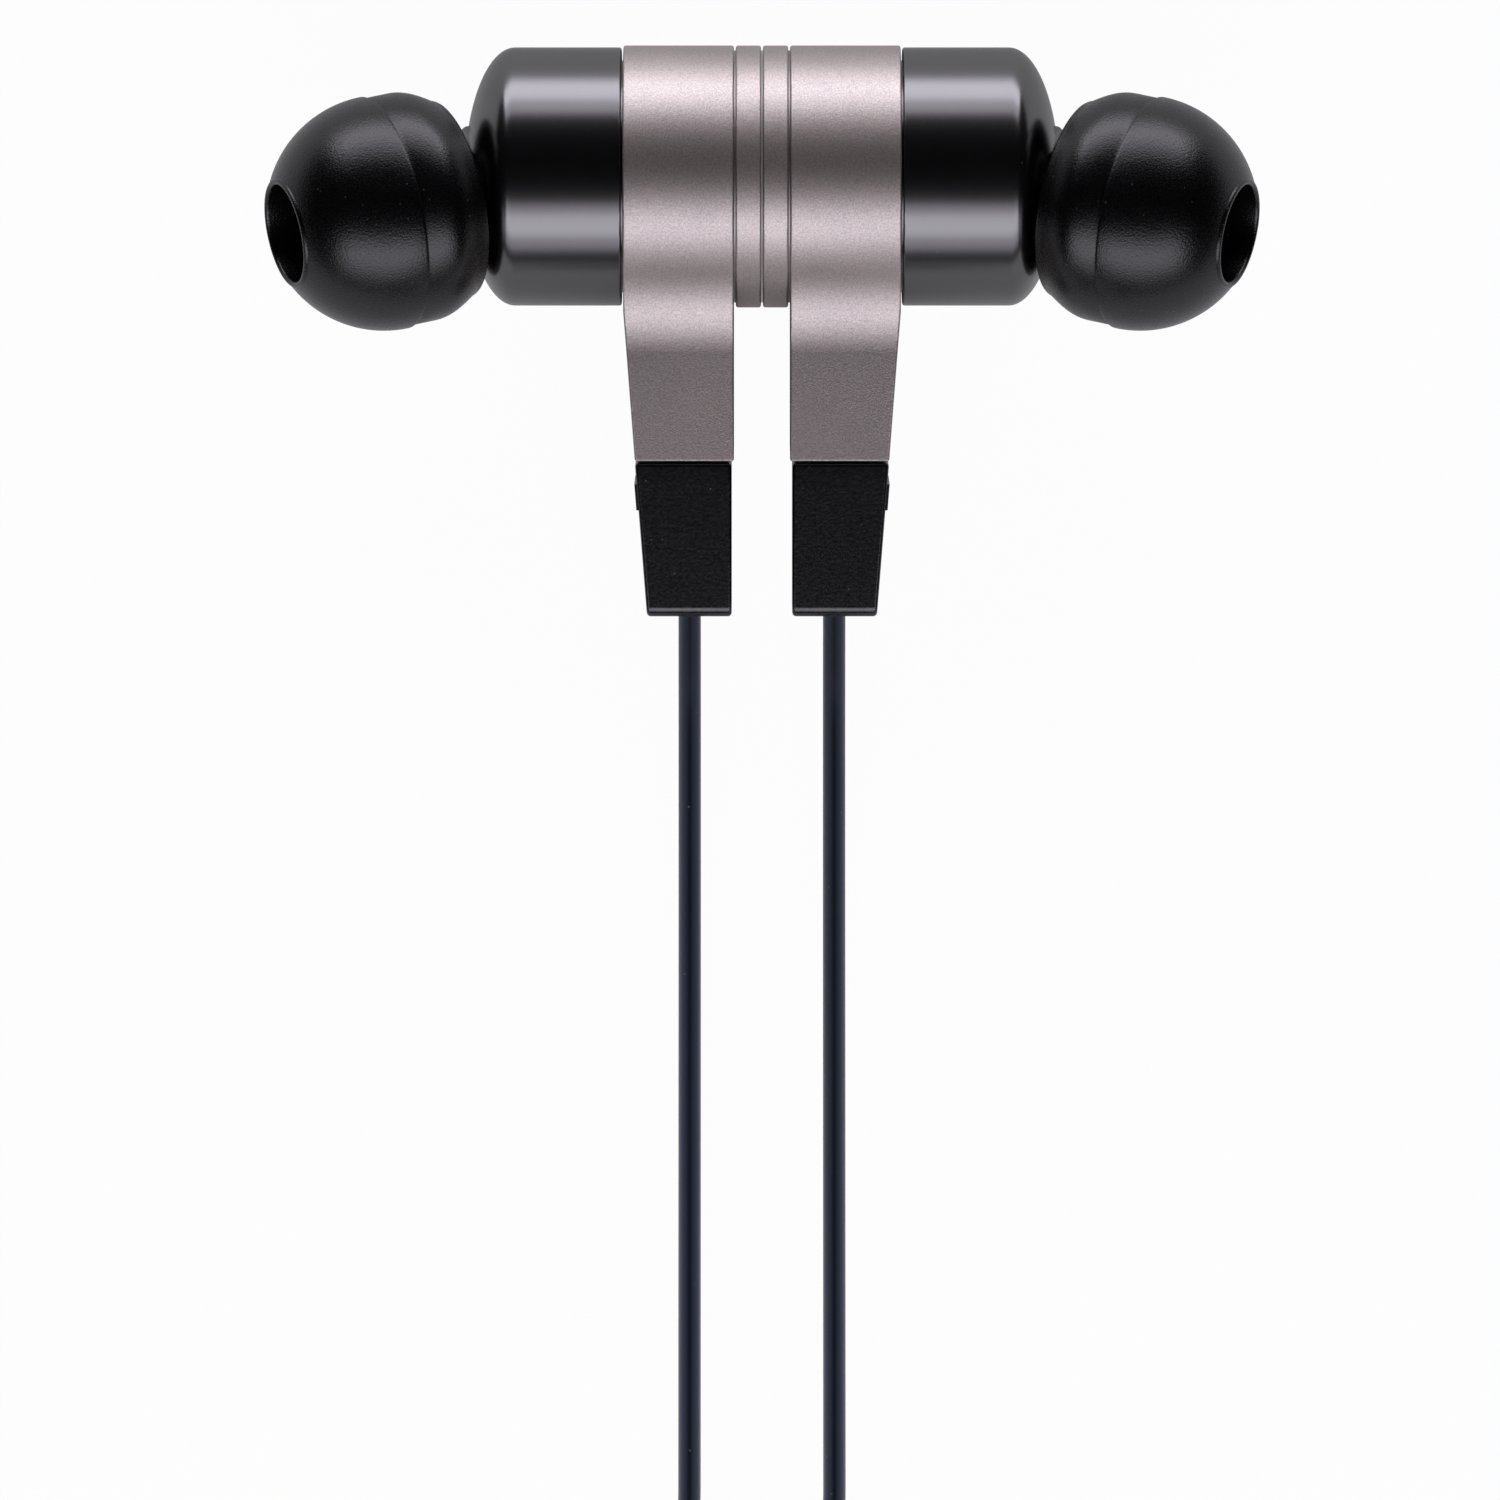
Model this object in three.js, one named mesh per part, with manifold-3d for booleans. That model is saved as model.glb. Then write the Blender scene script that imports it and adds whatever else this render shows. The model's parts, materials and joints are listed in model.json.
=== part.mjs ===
// Wired in-ear earphones: two earpieces clasped back to back by their magnets, lying on a table, with
// their leads drawn straight down and the spare length wound into a tied coil beside a 3.5 mm plug.
// Millimetres, +Z up. The origin is on the table, under the middle of the clasped pair.

import * as THREE from 'three';
import { mergeVertices } from 'three/addons/utils/BufferGeometryUtils.js';
import Module from 'manifold-3d';

const wasm = await Module();
wasm.setup();

// ---------------------------------------------------------------- driving dimensions

// Clearances
const FIT = 0.1;              // between pieces that are pressed, glued or clamped together
const CLASP_GAP = 0.1;        // air between the two end caps while the magnets hold them
const CORD_GAP = 0.3;         // at each end of a cord

// Housings, turned about the clasp axis; lengths run outwards along that axis
const HOUSING_RADIUS = 7.0;
const HOUSING_WALL = 0.7;
const CAP_LENGTH = 1.35;
const CAP_FACE = 0.6;
const CAP_SPIGOT_LENGTH = 1.0;
const REAR_LENGTH = 5.9;
const FRONT_SETBACK = 0.1;    // how far its side stands in from the metal band's
const FRONT_LENGTH = 8.4;
const FRONT_SPIGOT_WALL = 0.45;
const SHOULDER_DEPTH = 2.7;   // length of the elliptical shoulder that closes the front housing
const EDGE = 0.12;            // broken edges of the turned metal pieces

// Clasp magnet stack
const MAGNET_RADIUS = 4.5;
const MAGNET_THICKNESS = 2.0;
const KEEPER_THICKNESS = 0.5;
const BOARD_CLEARANCE = 0.4;  // from the edge of the solder board to the housing's bore
const BOARD_THICKNESS = 0.7;

// Driver
const FRAME_LENGTH = 3.05;
const FRAME_SHOULDER_LENGTH = 2.05;
const FRAME_RIM = 0.65;       // width of the front rim that the diaphragm is glued to
const YOKE_RADIUS = 4.4;
const YOKE_LENGTH = 2.2;
const YOKE_WALL = 0.5;
const DRIVER_MAGNET_RADIUS = 3.1;
const DRIVER_MAGNET_THICKNESS = 1.1;
const TOP_PLATE_RADIUS = 3.25;
const TOP_PLATE_THICKNESS = 0.4;
const COIL_GAP = 0.15;        // magnetic gap on each side of the voice coil
const COIL_WALL = 0.3;
const COIL_LENGTH = 1.9;
const FILM = 0.12;            // thickness of the diaphragm
const DOME_HEIGHT = 0.5;
const SURROUND_HEIGHT = 0.35;
const GASKET_THICKNESS = 0.58;
const GASKET_WIDTH = 0.5;
const GRILLE_THICKNESS = 0.3;
const GRILLE_HOLE = 0.7;
const GRILLE_HOLES = 6;
const GRILLE_HOLE_CIRCLE = 3.0;
const LEDGE_WIDTH = 0.55;     // of the ledge that the grille bears on
const FRONT_NOSE_WALL = 0.8;

// Nozzle, along its own axis from the point where that crosses the clasp axis
const NOZZLE_SETBACK = 4.83;  // of that point, from the front of the shell
const NOZZLE_DIRECTION = new THREE.Vector3(0.916, -0.174, 0.362).normalize();
const NOZZLE_RADIUS = 2.2;
const NOZZLE_REACH = 4.0;     // of the nozzle into the ear tip's core
const NOZZLE_LIP = 0.3;       // height of the lip that holds the ear tip
const NOZZLE_LIP_LENGTH = 0.8;
const NOZZLE_ROOT_FLARE = 1.4;
const NOZZLE_ROOT_LENGTH = 2.2;
const NOZZLE_ROOT_SINK = 0.975; // of the flare's start, behind the front of the shell
const SOUND_BORE = 1.45;
const MESH_RADIUS = 1.6;
const MESH_THICKNESS = 0.15;
const MESH_RECESS = 0.15;
const DAMPER_LENGTH = 1.6;
const DAMPER_SETBACK = 3.2;   // from the end of the nozzle to the start of the foam

// Ear tip, along the nozzle axis
const TIP_RADIUS = 6.28;
const TIP_SIDE_CLEARANCE = 0.39; // from the rear rim to the side of the front housing
const TIP_NOSE_CLEARANCE = 0.1;  // from the plane of the rear rim to the front of the shell
const TIP_REAR_INSET = 0.93;  // how much narrower the rear rim is
const TIP_SKIRT_LENGTH = 3.95;
const TIP_FLARE_LENGTH = 2.35; // of the part of the skirt that widens from the rear rim
const TIP_WALL = 0.6;
const TIP_CORE_WALL = 0.68;
const TIP_CORE_INSET = 1.05;  // of the core's end from the rear rim
const TIP_CORE_SLACK = 0.12;  // between the nozzle's lip and the core
const TIP_LIP = 0.35;         // width of the rounded edge of the sound opening

// Stem, below the rear housing
const STEM_HALF_DEPTH = 3.3;
const STEM_FILLET = 6.4;
const STEM_LENGTH = 15.03;    // from the clasp axis to the end of the stem
const STEM_END_WIDTH = 5.29;
const STEM_TOP = 7.0;
const STEM_CORNER = 0.25;
const CHANNEL_SLACK = 0.15;   // from the crimp to the sides of the cord channel
const CHANNEL_EXTRA_DEPTH = 0.2;

// Boot
const BOOT_LENGTH = 8.3;
const BOOT_INSET = 0.12;      // how far its clasp side stands back from the stem's
const BOOT_END_WIDTH = 4.53;
const BOOT_TOP_HALF_DEPTH = 3.2;
const BOOT_END_HALF_DEPTH = 2.7;
const BOOT_END_ROUND = 0.55;
const BOOT_CORNER = 0.8;
const BOOT_TOP_CORNER = 0.1;
const PAD_DROP = 1.1;         // from the top of the boot to its raised side pad
const PAD_LENGTH = 1.5;
const PAD_HEIGHT = 0.12;
const TONGUE_LENGTH = 2.6;

// Cord
const CORD_RADIUS = 0.6;
const CORD_BORE_SLACK = 0.15;
const CORD_OFFSET = 3.88;     // from the clasp plane to each lead
const INNER_CORD_END = 9.0;   // from the clasp axis to the end of the jacket inside the stem
const CRIMP_START = 10.2;
const CRIMP_LENGTH = 1.2;
const CRIMP_WALL = 0.55;
const WIRE_RADIUS = 0.2;

// Coil of spare cord, its ties and the splitter inside it
const COIL_CENTRE = new THREE.Vector2(0, -96);
const COIL_INNER = 7.3;
const COIL_OUTER = 13.7;
const COIL_HEIGHT = 6.3;
const COIL_EDGE = 0.6;
const TIE_THICKNESS = 0.4;
const TIE_WIDTH = 2.6;
const SPLIT_LENGTH = 8.4;
const SPLIT_WIDTH = 3.4;
const SPLIT_HEIGHT = 3.0;
const SPLIT_CORNER = 1.2;
const SPLIT_OFFSET = 4.0;     // from the coil's centre

// Plug, lying along Y
const PLUG_X = -20;
const PLUG_START = -110;
const RELIEF_LENGTH = 8.0;
const RELIEF_START_RADIUS = 0.95;
const RELIEF_END_RADIUS = 1.9;
const SHELL_RADIUS = 2.6;
const SHELL_LENGTH = 12.5;
const SHELL_CHAMFER = 0.25;
const PIN_RADIUS = 1.75;
const PIN_LENGTH = 14.0;
const PIN_SEAT = 4.0;         // length of the sleeve held inside the shell
const INSULATOR_LENGTH = 0.6;
const RING_LENGTH = 2.2;
const TIP_CONTACT_LENGTH = 3.9;
const TIP_CONTACT_WAIST = 1.2;
const PIN_ROD = 0.45;

// Facets
const HOUSING_SIDES = 28;
const DRIVER_SIDES = 14;
const NOZZLE_SIDES = 14;
const TIP_SIDES = 20;
const PLUG_SIDES = 14;
const CORD_SIDES = 8;
const CORD_STEP = 3.4;
const ARC_STEPS = 4;
const SHOULDER_STEPS = 6;

// ---------------------------------------------------------------- places along the clasp axis

const CAP_START = CLASP_GAP / 2;
const CAP_END = CAP_START + CAP_LENGTH;
const REAR_START = CAP_END + FIT;
const REAR_END = REAR_START + REAR_LENGTH;
const FRONT_START = REAR_END + FIT;
const FRONT_END = FRONT_START + FRONT_LENGTH;
const FRONT_RADIUS = HOUSING_RADIUS - FRONT_SETBACK;
const REAR_BORE = HOUSING_RADIUS - HOUSING_WALL;
const BOARD_RADIUS = REAR_BORE - BOARD_CLEARANCE;
const SPIGOT_RADIUS = REAR_BORE - FIT;
const FRONT_BORE = SPIGOT_RADIUS - FRONT_SPIGOT_WALL;
const FRONT_CAVITY_RADIUS = FRONT_BORE - LEDGE_WIDTH;
const MAGNET_START = CAP_START + CAP_FACE + FIT;
const KEEPER_START = MAGNET_START + MAGNET_THICKNESS + FIT;
const BOARD_START = KEEPER_START + KEEPER_THICKNESS + FIT;
const FRAME_START = BOARD_START + BOARD_THICKNESS + FIT;
const FRAME_END = FRAME_START + FRAME_LENGTH;
const FRAME_SHOULDER = FRAME_START + FRAME_SHOULDER_LENGTH;
const FRONT_SPIGOT_START = FRAME_SHOULDER + FIT;
const FRAME_FRONT_RADIUS = FRONT_BORE - FIT;
const YOKE_START = FRAME_START + FIT;
const YOKE_END = YOKE_START + YOKE_LENGTH;
const DRIVER_MAGNET_START = YOKE_START + YOKE_WALL + FIT;
const TOP_PLATE_START = DRIVER_MAGNET_START + DRIVER_MAGNET_THICKNESS + FIT;
const DIAPHRAGM_START = FRAME_END + FIT;
const VOICE_COIL_END = DIAPHRAGM_START - FIT;
const GASKET_START = DIAPHRAGM_START + FILM + FIT;
const GRILLE_START = GASKET_START + GASKET_THICKNESS + FIT;
const LEDGE = GRILLE_START + GRILLE_THICKNESS + FIT;
const BOOT_TOP = -STEM_LENGTH - FIT;
const BOOT_END = BOOT_TOP - BOOT_LENGTH;
const CRIMP_RADIUS = CORD_RADIUS + FIT + CRIMP_WALL;
const CHANNEL_HALF_WIDTH = CRIMP_RADIUS + CHANNEL_SLACK;
const CHANNEL_HALF_DEPTH = CHANNEL_HALF_WIDTH + CHANNEL_EXTRA_DEPTH;

// ---------------------------------------------------------------- places along the nozzle

const NOZZLE_START = FRONT_END - NOZZLE_SETBACK;
const TIP_BORE = NOZZLE_RADIUS + NOZZLE_LIP + TIP_CORE_SLACK;
const TIP_REAR_RADIUS = TIP_RADIUS - TIP_REAR_INSET;

// The nozzle is long enough for the tip's rear rim to clear both the side and the front of the shell.
const slant = Math.acos(NOZZLE_DIRECTION.x);
const sideReach = FRONT_RADIUS + TIP_SIDE_CLEARANCE - TIP_REAR_RADIUS * Math.cos(slant);
const noseReach = FRONT_END + TIP_NOSE_CLEARANCE - NOZZLE_START;
const TIP_REAR = Math.max(sideReach / Math.sin(slant), noseReach / Math.cos(slant));
const TIP_SHOULDER = TIP_REAR + TIP_FLARE_LENGTH;
const TIP_SEAM = TIP_REAR + TIP_SKIRT_LENGTH;
const TIP_CORE_REAR = TIP_REAR + TIP_CORE_INSET;
const NOZZLE_LENGTH = TIP_CORE_REAR + NOZZLE_REACH;
const NOZZLE_ROOT_RADIUS = NOZZLE_RADIUS + NOZZLE_ROOT_FLARE;
const NOZZLE_ROOT_START = (FRONT_END - NOZZLE_START) / Math.cos(slant) - NOZZLE_ROOT_SINK;
const NOZZLE_ROOT_END = NOZZLE_ROOT_START + NOZZLE_ROOT_LENGTH;
const DAMPER_START = NOZZLE_LENGTH - DAMPER_SETBACK;

// ---------------------------------------------------------------- finishes

function finish(color, roughness, metalness) {
  return new THREE.MeshStandardMaterial({ color, roughness, metalness });
}

const ALUMINIUM = finish(0xb9aaa6, 0.38, 1.0);
const BLACK_SHELL = finish(0x141416, 0.3, 0.0);
const RUBBER = finish(0x1b1b1d, 0.7, 0.0);
const SILICONE = finish(0x111112, 0.6, 0.0);
const JACKET = finish(0x2e343c, 0.5, 0.0);
const STEEL = finish(0x8d8f92, 0.35, 1.0);
const MAGNET = finish(0x9a9ca0, 0.25, 1.0);
const COPPER = finish(0xb06a3a, 0.35, 1.0);
const FILM_PLASTIC = finish(0xc9c4b0, 0.3, 0.0);
const BOARD = finish(0x1f5a35, 0.5, 0.0);
const FOAM = finish(0x2a2a2a, 0.95, 0.0);
const GOLD = finish(0xd2a850, 0.25, 1.0);
const INSULATOR = finish(0x101010, 0.5, 0.0);

// ---------------------------------------------------------------- shape helpers

const X = new THREE.Vector3(1, 0, 0);
const Y = new THREE.Vector3(0, 1, 0);
const Z = new THREE.Vector3(0, 0, 1);

/** A body turned about X from [along, radius] pairs that run round its section, outside first. */
function turned(profile, sides) {
  const points = profile.map(([along, radius]) => new THREE.Vector2(radius, along));
  return new THREE.LatheGeometry(points, sides).rotateZ(-Math.PI / 2);
}

/** A body turned about X whose section closes on itself. */
function turnedRing(profile, sides) {
  return turned([...profile, profile[0]], sides);
}

function disc(start, thickness, radius, sides) {
  const end = start + thickness;
  return turned([[start, 0], [start, radius], [end, radius], [end, 0]], sides);
}

function ring(start, thickness, inner, outer, sides) {
  const end = start + thickness;
  return turnedRing([[start, inner], [start, outer], [end, outer], [end, inner]], sides);
}

/** [along, radius] pairs on a circular or elliptical arc about a centre on the axis. */
function arcPoints(centre, depth, radius, from, to, steps) {
  const points = [];
  for (let i = 0; i <= steps; i += 1) {
    const angle = from + (to - from) * i / steps;
    points.push([centre + depth * Math.sin(angle), radius * Math.cos(angle)]);
  }
  return points;
}

/** A closed outline through [x, y, round] corners, each rounded by its own radius. */
function outline(corners) {
  const shape = new THREE.Shape();
  corners.forEach(([x, y, round = 0], i) => {
    const corner = new THREE.Vector2(x, y);
    const [beforeX, beforeY] = corners.at(i - 1);
    const [afterX, afterY] = corners[(i + 1) % corners.length];
    const back = new THREE.Vector2(beforeX - x, beforeY - y).normalize();
    const ahead = new THREE.Vector2(afterX - x, afterY - y).normalize();
    const half = Math.acos(back.dot(ahead)) / 2;
    const start = corner.clone().addScaledVector(back, round / Math.tan(half));
    const draw = i === 0 ? 'moveTo' : 'lineTo';
    shape[draw](start.x, start.y);
    if (round > 0) {
      const middle = back.clone().add(ahead).normalize();
      const centre = corner.clone().addScaledVector(middle, round / Math.sin(half));
      const end = corner.clone().addScaledVector(ahead, round / Math.tan(half));
      const from = start.clone().sub(centre).angle();
      const to = end.clone().sub(centre).angle();
      shape.absarc(centre.x, centre.y, round, from, to, back.cross(ahead) > 0);
    }
  });
  return shape;
}

/** A Y-Z outline extruded along X. */
function alongX(shape, from, to) {
  const options = { depth: to - from, bevelEnabled: false, curveSegments: ARC_STEPS };
  const turn = new THREE.Matrix4().makeBasis(Y, Z, X);
  return new THREE.ExtrudeGeometry(shape, options).applyMatrix4(turn).translate(from, 0, 0);
}

/** An X-Y outline extruded along Z. */
function alongZ(shape, from, to) {
  const options = { depth: to - from, bevelEnabled: false, curveSegments: ARC_STEPS };
  return new THREE.ExtrudeGeometry(shape, options).translate(0, 0, from);
}

function box(xFrom, xTo, yFrom, yTo, zFrom, zTo) {
  const block = new THREE.BoxGeometry(xTo - xFrom, yTo - yFrom, zTo - zFrom);
  return block.translate((xFrom + xTo) / 2, (yFrom + yTo) / 2, (zFrom + zTo) / 2);
}

/** A rod along Y at a given x, between two y values. */
function rodY(x, yFrom, yTo, radius, sides) {
  return new THREE.CylinderGeometry(radius, radius, yTo - yFrom, sides).translate(x, (yFrom + yTo) / 2, 0);
}

/** A round cord along a smooth route. */
function cord(route, radius) {
  const curve = new THREE.CatmullRomCurve3(route, false, 'centripetal');
  const section = new THREE.Shape();
  for (let i = 0; i < CORD_SIDES; i += 1) {
    const angle = 2 * Math.PI * i / CORD_SIDES;
    section[i === 0 ? 'moveTo' : 'lineTo'](radius * Math.cos(angle), radius * Math.sin(angle));
  }
  const steps = Math.ceil(curve.getLength() / CORD_STEP);
  return new THREE.ExtrudeGeometry(section, { steps, extrudePath: curve, bevelEnabled: false });
}

/** The manifold solid of a closed geometry. */
function solid(geometry) {
  const bare = geometry.clone();
  bare.deleteAttribute('normal');
  bare.deleteAttribute('uv');
  const merged = mergeVertices(bare);
  const corners = merged.index.array;
  const triangles = [];
  for (let i = 0; i < corners.length; i += 3) {
    const [a, b, c] = corners.slice(i, i + 3);
    if (a !== b && b !== c && c !== a) {
      triangles.push(a, b, c);
    }
  }
  const vertProperties = new Float32Array(merged.attributes.position.array);
  const triVerts = new Uint32Array(triangles);
  return new wasm.Manifold(new wasm.Mesh({ numProp: 3, vertProperties, triVerts }));
}

/** The three.js geometry of a manifold solid. */
function geometryOf(body) {
  const mesh = body.getMesh();
  const geometry = new THREE.BufferGeometry();
  geometry.setAttribute('position', new THREE.BufferAttribute(mesh.vertProperties, 3));
  geometry.setIndex(new THREE.BufferAttribute(mesh.triVerts, 1));
  geometry.computeVertexNormals();
  return geometry;
}

function named(name, geometry, material) {
  const mesh = new THREE.Mesh(geometry, material);
  mesh.name = name;
  return mesh;
}

// ---------------------------------------------------------------- metal housing

/** Aluminium disc that closes the back of an earpiece and meets its twin. */
function endCap() {
  return turned([
    [CAP_START, 0],
    [CAP_START, HOUSING_RADIUS - EDGE],
    [CAP_START + EDGE, HOUSING_RADIUS],
    [CAP_END - EDGE, HOUSING_RADIUS],
    [CAP_END, HOUSING_RADIUS - EDGE],
    [CAP_END, SPIGOT_RADIUS],
    [CAP_END + CAP_SPIGOT_LENGTH, SPIGOT_RADIUS],
    [CAP_END + CAP_SPIGOT_LENGTH, MAGNET_RADIUS + FIT],
    [CAP_START + CAP_FACE, MAGNET_RADIUS + FIT],
    [CAP_START + CAP_FACE, 0],
  ], HOUSING_SIDES);
}

/** Side view of the stem: it flares into the round housing with a tangent fillet on each face. */
function stemSideOutline() {
  const centreZ = STEM_HALF_DEPTH + STEM_FILLET;
  const reach = HOUSING_RADIUS + STEM_FILLET;
  const centreY = -Math.sqrt(reach ** 2 - centreZ ** 2);
  const tangent = Math.atan2(centreZ, -centreY);
  const shape = new THREE.Shape();
  shape.moveTo(-STEM_LENGTH, -STEM_HALF_DEPTH + STEM_CORNER);
  shape.lineTo(-STEM_LENGTH + STEM_CORNER, -STEM_HALF_DEPTH);
  shape.absarc(centreY, -centreZ, STEM_FILLET, Math.PI / 2, tangent, true);
  shape.absarc(centreY, centreZ, STEM_FILLET, -tangent, -Math.PI / 2, true);
  shape.lineTo(-STEM_LENGTH + STEM_CORNER, STEM_HALF_DEPTH);
  shape.lineTo(-STEM_LENGTH, STEM_HALF_DEPTH - STEM_CORNER);
  return shape;
}

/** Front view of the stem: its outer side tapers towards the boot. */
function stemFrontOutline() {
  const outer = REAR_START + STEM_END_WIDTH;
  return outline([
    [REAR_START, 0],
    [REAR_START, -STEM_LENGTH + STEM_CORNER],
    [REAR_START + STEM_CORNER, -STEM_LENGTH],
    [outer - STEM_CORNER, -STEM_LENGTH],
    [outer, -STEM_LENGTH + STEM_CORNER],
    [REAR_END, -STEM_TOP],
    [REAR_END, 0],
  ]);
}

/** Aluminium band and stem in one piece, bored for the driver and channelled for the cord. */
function rearHousing() {
  const band = solid(turned([
    [REAR_START, 0],
    [REAR_START, HOUSING_RADIUS - EDGE],
    [REAR_START + EDGE, HOUSING_RADIUS],
    [REAR_END - EDGE, HOUSING_RADIUS],
    [REAR_END, HOUSING_RADIUS - EDGE],
    [REAR_END, 0],
  ], HOUSING_SIDES));
  const side = solid(alongX(stemSideOutline(), REAR_START, REAR_END));
  const front = solid(alongZ(stemFrontOutline(), -HOUSING_RADIUS, HOUSING_RADIUS));
  const bore = solid(disc(REAR_START - 1, REAR_LENGTH + 2, REAR_BORE, HOUSING_SIDES));
  const middle = CORD_OFFSET + FIT;
  const channel = solid(box(
    middle - CHANNEL_HALF_WIDTH, middle + CHANNEL_HALF_WIDTH,
    -STEM_LENGTH - 1, -REAR_BORE + HOUSING_WALL,
    -CHANNEL_HALF_DEPTH, CHANNEL_HALF_DEPTH,
  ));
  return geometryOf(side.intersect(front).add(band).subtract(bore).subtract(channel));
}

// ---------------------------------------------------------------- front housing and nozzle

/** Turns a body made along X, or a group of them, onto the nozzle's axis. */
function nozzlePlace() {
  const turn = new THREE.Quaternion().setFromUnitVectors(X, NOZZLE_DIRECTION);
  const start = new THREE.Vector3(NOZZLE_START, 0, 0);
  return new THREE.Matrix4().compose(start, turn, new THREE.Vector3(1, 1, 1));
}

/** Black moulded shell with an elliptical shoulder and a slanted, lipped nozzle. */
function frontHousing() {
  const shoulder = FRONT_END - SHOULDER_DEPTH;
  const shell = solid(turned([
    [FRONT_SPIGOT_START, 0],
    [FRONT_SPIGOT_START, SPIGOT_RADIUS],
    [FRONT_START, SPIGOT_RADIUS],
    [FRONT_START, FRONT_RADIUS - EDGE],
    [FRONT_START + EDGE, FRONT_RADIUS],
    ...arcPoints(shoulder, SHOULDER_DEPTH, FRONT_RADIUS, 0, Math.PI / 2, SHOULDER_STEPS),
  ], HOUSING_SIDES));
  const lipStart = NOZZLE_LENGTH - NOZZLE_LIP_LENGTH;
  const barrel = solid(turned([
    [NOZZLE_ROOT_START, 0],
    [NOZZLE_ROOT_START, NOZZLE_ROOT_RADIUS],
    [(NOZZLE_ROOT_START + NOZZLE_ROOT_END) / 2, NOZZLE_RADIUS + (NOZZLE_ROOT_RADIUS - NOZZLE_RADIUS) / 4],
    [NOZZLE_ROOT_END, NOZZLE_RADIUS],
    [lipStart - NOZZLE_LIP, NOZZLE_RADIUS],
    [lipStart, NOZZLE_RADIUS + NOZZLE_LIP],
    [NOZZLE_LENGTH - EDGE, NOZZLE_RADIUS + NOZZLE_LIP],
    [NOZZLE_LENGTH, NOZZLE_RADIUS + NOZZLE_LIP - EDGE],
    [NOZZLE_LENGTH, 0],
  ], NOZZLE_SIDES).applyMatrix4(nozzlePlace()));
  const cavity = solid(turned([
    [FRONT_SPIGOT_START - 1, 0],
    [FRONT_SPIGOT_START - 1, FRONT_BORE],
    [LEDGE, FRONT_BORE],
    [LEDGE, FRONT_CAVITY_RADIUS],
    ...arcPoints(shoulder, SHOULDER_DEPTH - FRONT_NOSE_WALL, FRONT_CAVITY_RADIUS, 0, Math.PI / 2, ARC_STEPS),
  ], DRIVER_SIDES));
  const meshSeat = NOZZLE_LENGTH - MESH_RECESS - MESH_THICKNESS - FIT;
  const bore = solid(turned([
    [NOZZLE_ROOT_START / 2, 0],
    [NOZZLE_ROOT_START / 2, SOUND_BORE],
    [meshSeat, SOUND_BORE],
    [meshSeat, MESH_RADIUS + FIT],
    [NOZZLE_LENGTH + 1, MESH_RADIUS + FIT],
    [NOZZLE_LENGTH + 1, 0],
  ], NOZZLE_SIDES).applyMatrix4(nozzlePlace()));
  return geometryOf(shell.add(barrel).subtract(cavity).subtract(bore));
}

/** Woven steel disc that keeps wax out of the sound bore. */
function nozzleMesh() {
  return disc(NOZZLE_LENGTH - MESH_RECESS - MESH_THICKNESS, MESH_THICKNESS, MESH_RADIUS, NOZZLE_SIDES);
}

/** Foam plug that damps the sound bore. */
function nozzleDamper() {
  return disc(DAMPER_START, DAMPER_LENGTH, SOUND_BORE - FIT, NOZZLE_SIDES);
}

/** Silicone mushroom: a core that grips the nozzle, a round dome and a skirt that folds back. */
function earTip() {
  const inner = TIP_RADIUS - TIP_WALL;
  const core = TIP_BORE + TIP_CORE_WALL;
  const lip = TIP_BORE + TIP_LIP;
  const outerEnd = Math.acos(lip / TIP_RADIUS);
  const innerEnd = Math.acos(core / inner);
  const front = TIP_SEAM + TIP_RADIUS * Math.sin(outerEnd);
  return turnedRing([
    [TIP_REAR, TIP_REAR_RADIUS],
    [(TIP_REAR + TIP_SHOULDER) / 2, (TIP_REAR_RADIUS + TIP_RADIUS) / 2 + TIP_WALL / 8],
    [TIP_SHOULDER, TIP_RADIUS],
    ...arcPoints(TIP_SEAM, TIP_RADIUS, TIP_RADIUS, 0, outerEnd, ARC_STEPS),
    [front, TIP_BORE],
    [TIP_CORE_REAR, TIP_BORE],
    [TIP_CORE_REAR, core],
    ...arcPoints(TIP_SEAM, inner, inner, innerEnd, 0, ARC_STEPS),
    [TIP_SHOULDER, inner],
    [TIP_REAR, TIP_REAR_RADIUS - TIP_WALL],
  ], TIP_SIDES);
}

// ---------------------------------------------------------------- clasp magnet and driver

function claspMagnet() {
  return disc(MAGNET_START, MAGNET_THICKNESS, MAGNET_RADIUS, DRIVER_SIDES);
}

/** Steel disc that closes the magnet's field and bears on the end cap's spigot bore. */
function magnetKeeper() {
  return disc(KEEPER_START, KEEPER_THICKNESS, SPIGOT_RADIUS, DRIVER_SIDES);
}

function solderBoard() {
  return disc(BOARD_START, BOARD_THICKNESS, BOARD_RADIUS, DRIVER_SIDES);
}

/** Stepped ring that carries the motor behind and the diaphragm in front. */
function driverFrame() {
  return turnedRing([
    [FRAME_START, YOKE_RADIUS + FIT],
    [FRAME_START, SPIGOT_RADIUS],
    [FRAME_SHOULDER, SPIGOT_RADIUS],
    [FRAME_SHOULDER, FRAME_FRONT_RADIUS],
    [FRAME_END, FRAME_FRONT_RADIUS],
    [FRAME_END, FRAME_FRONT_RADIUS - FRAME_RIM],
    [YOKE_END + FIT, YOKE_RADIUS + FIT],
  ], DRIVER_SIDES);
}

/** Steel cup round the driver magnet. */
function driverYoke() {
  const inside = YOKE_START + YOKE_WALL;
  return turned([
    [YOKE_START, 0],
    [YOKE_START, YOKE_RADIUS],
    [YOKE_END, YOKE_RADIUS],
    [YOKE_END, YOKE_RADIUS - YOKE_WALL],
    [inside, YOKE_RADIUS - YOKE_WALL],
    [inside, 0],
  ], DRIVER_SIDES);
}

function driverMagnet() {
  return disc(DRIVER_MAGNET_START, DRIVER_MAGNET_THICKNESS, DRIVER_MAGNET_RADIUS, DRIVER_SIDES);
}

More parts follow.
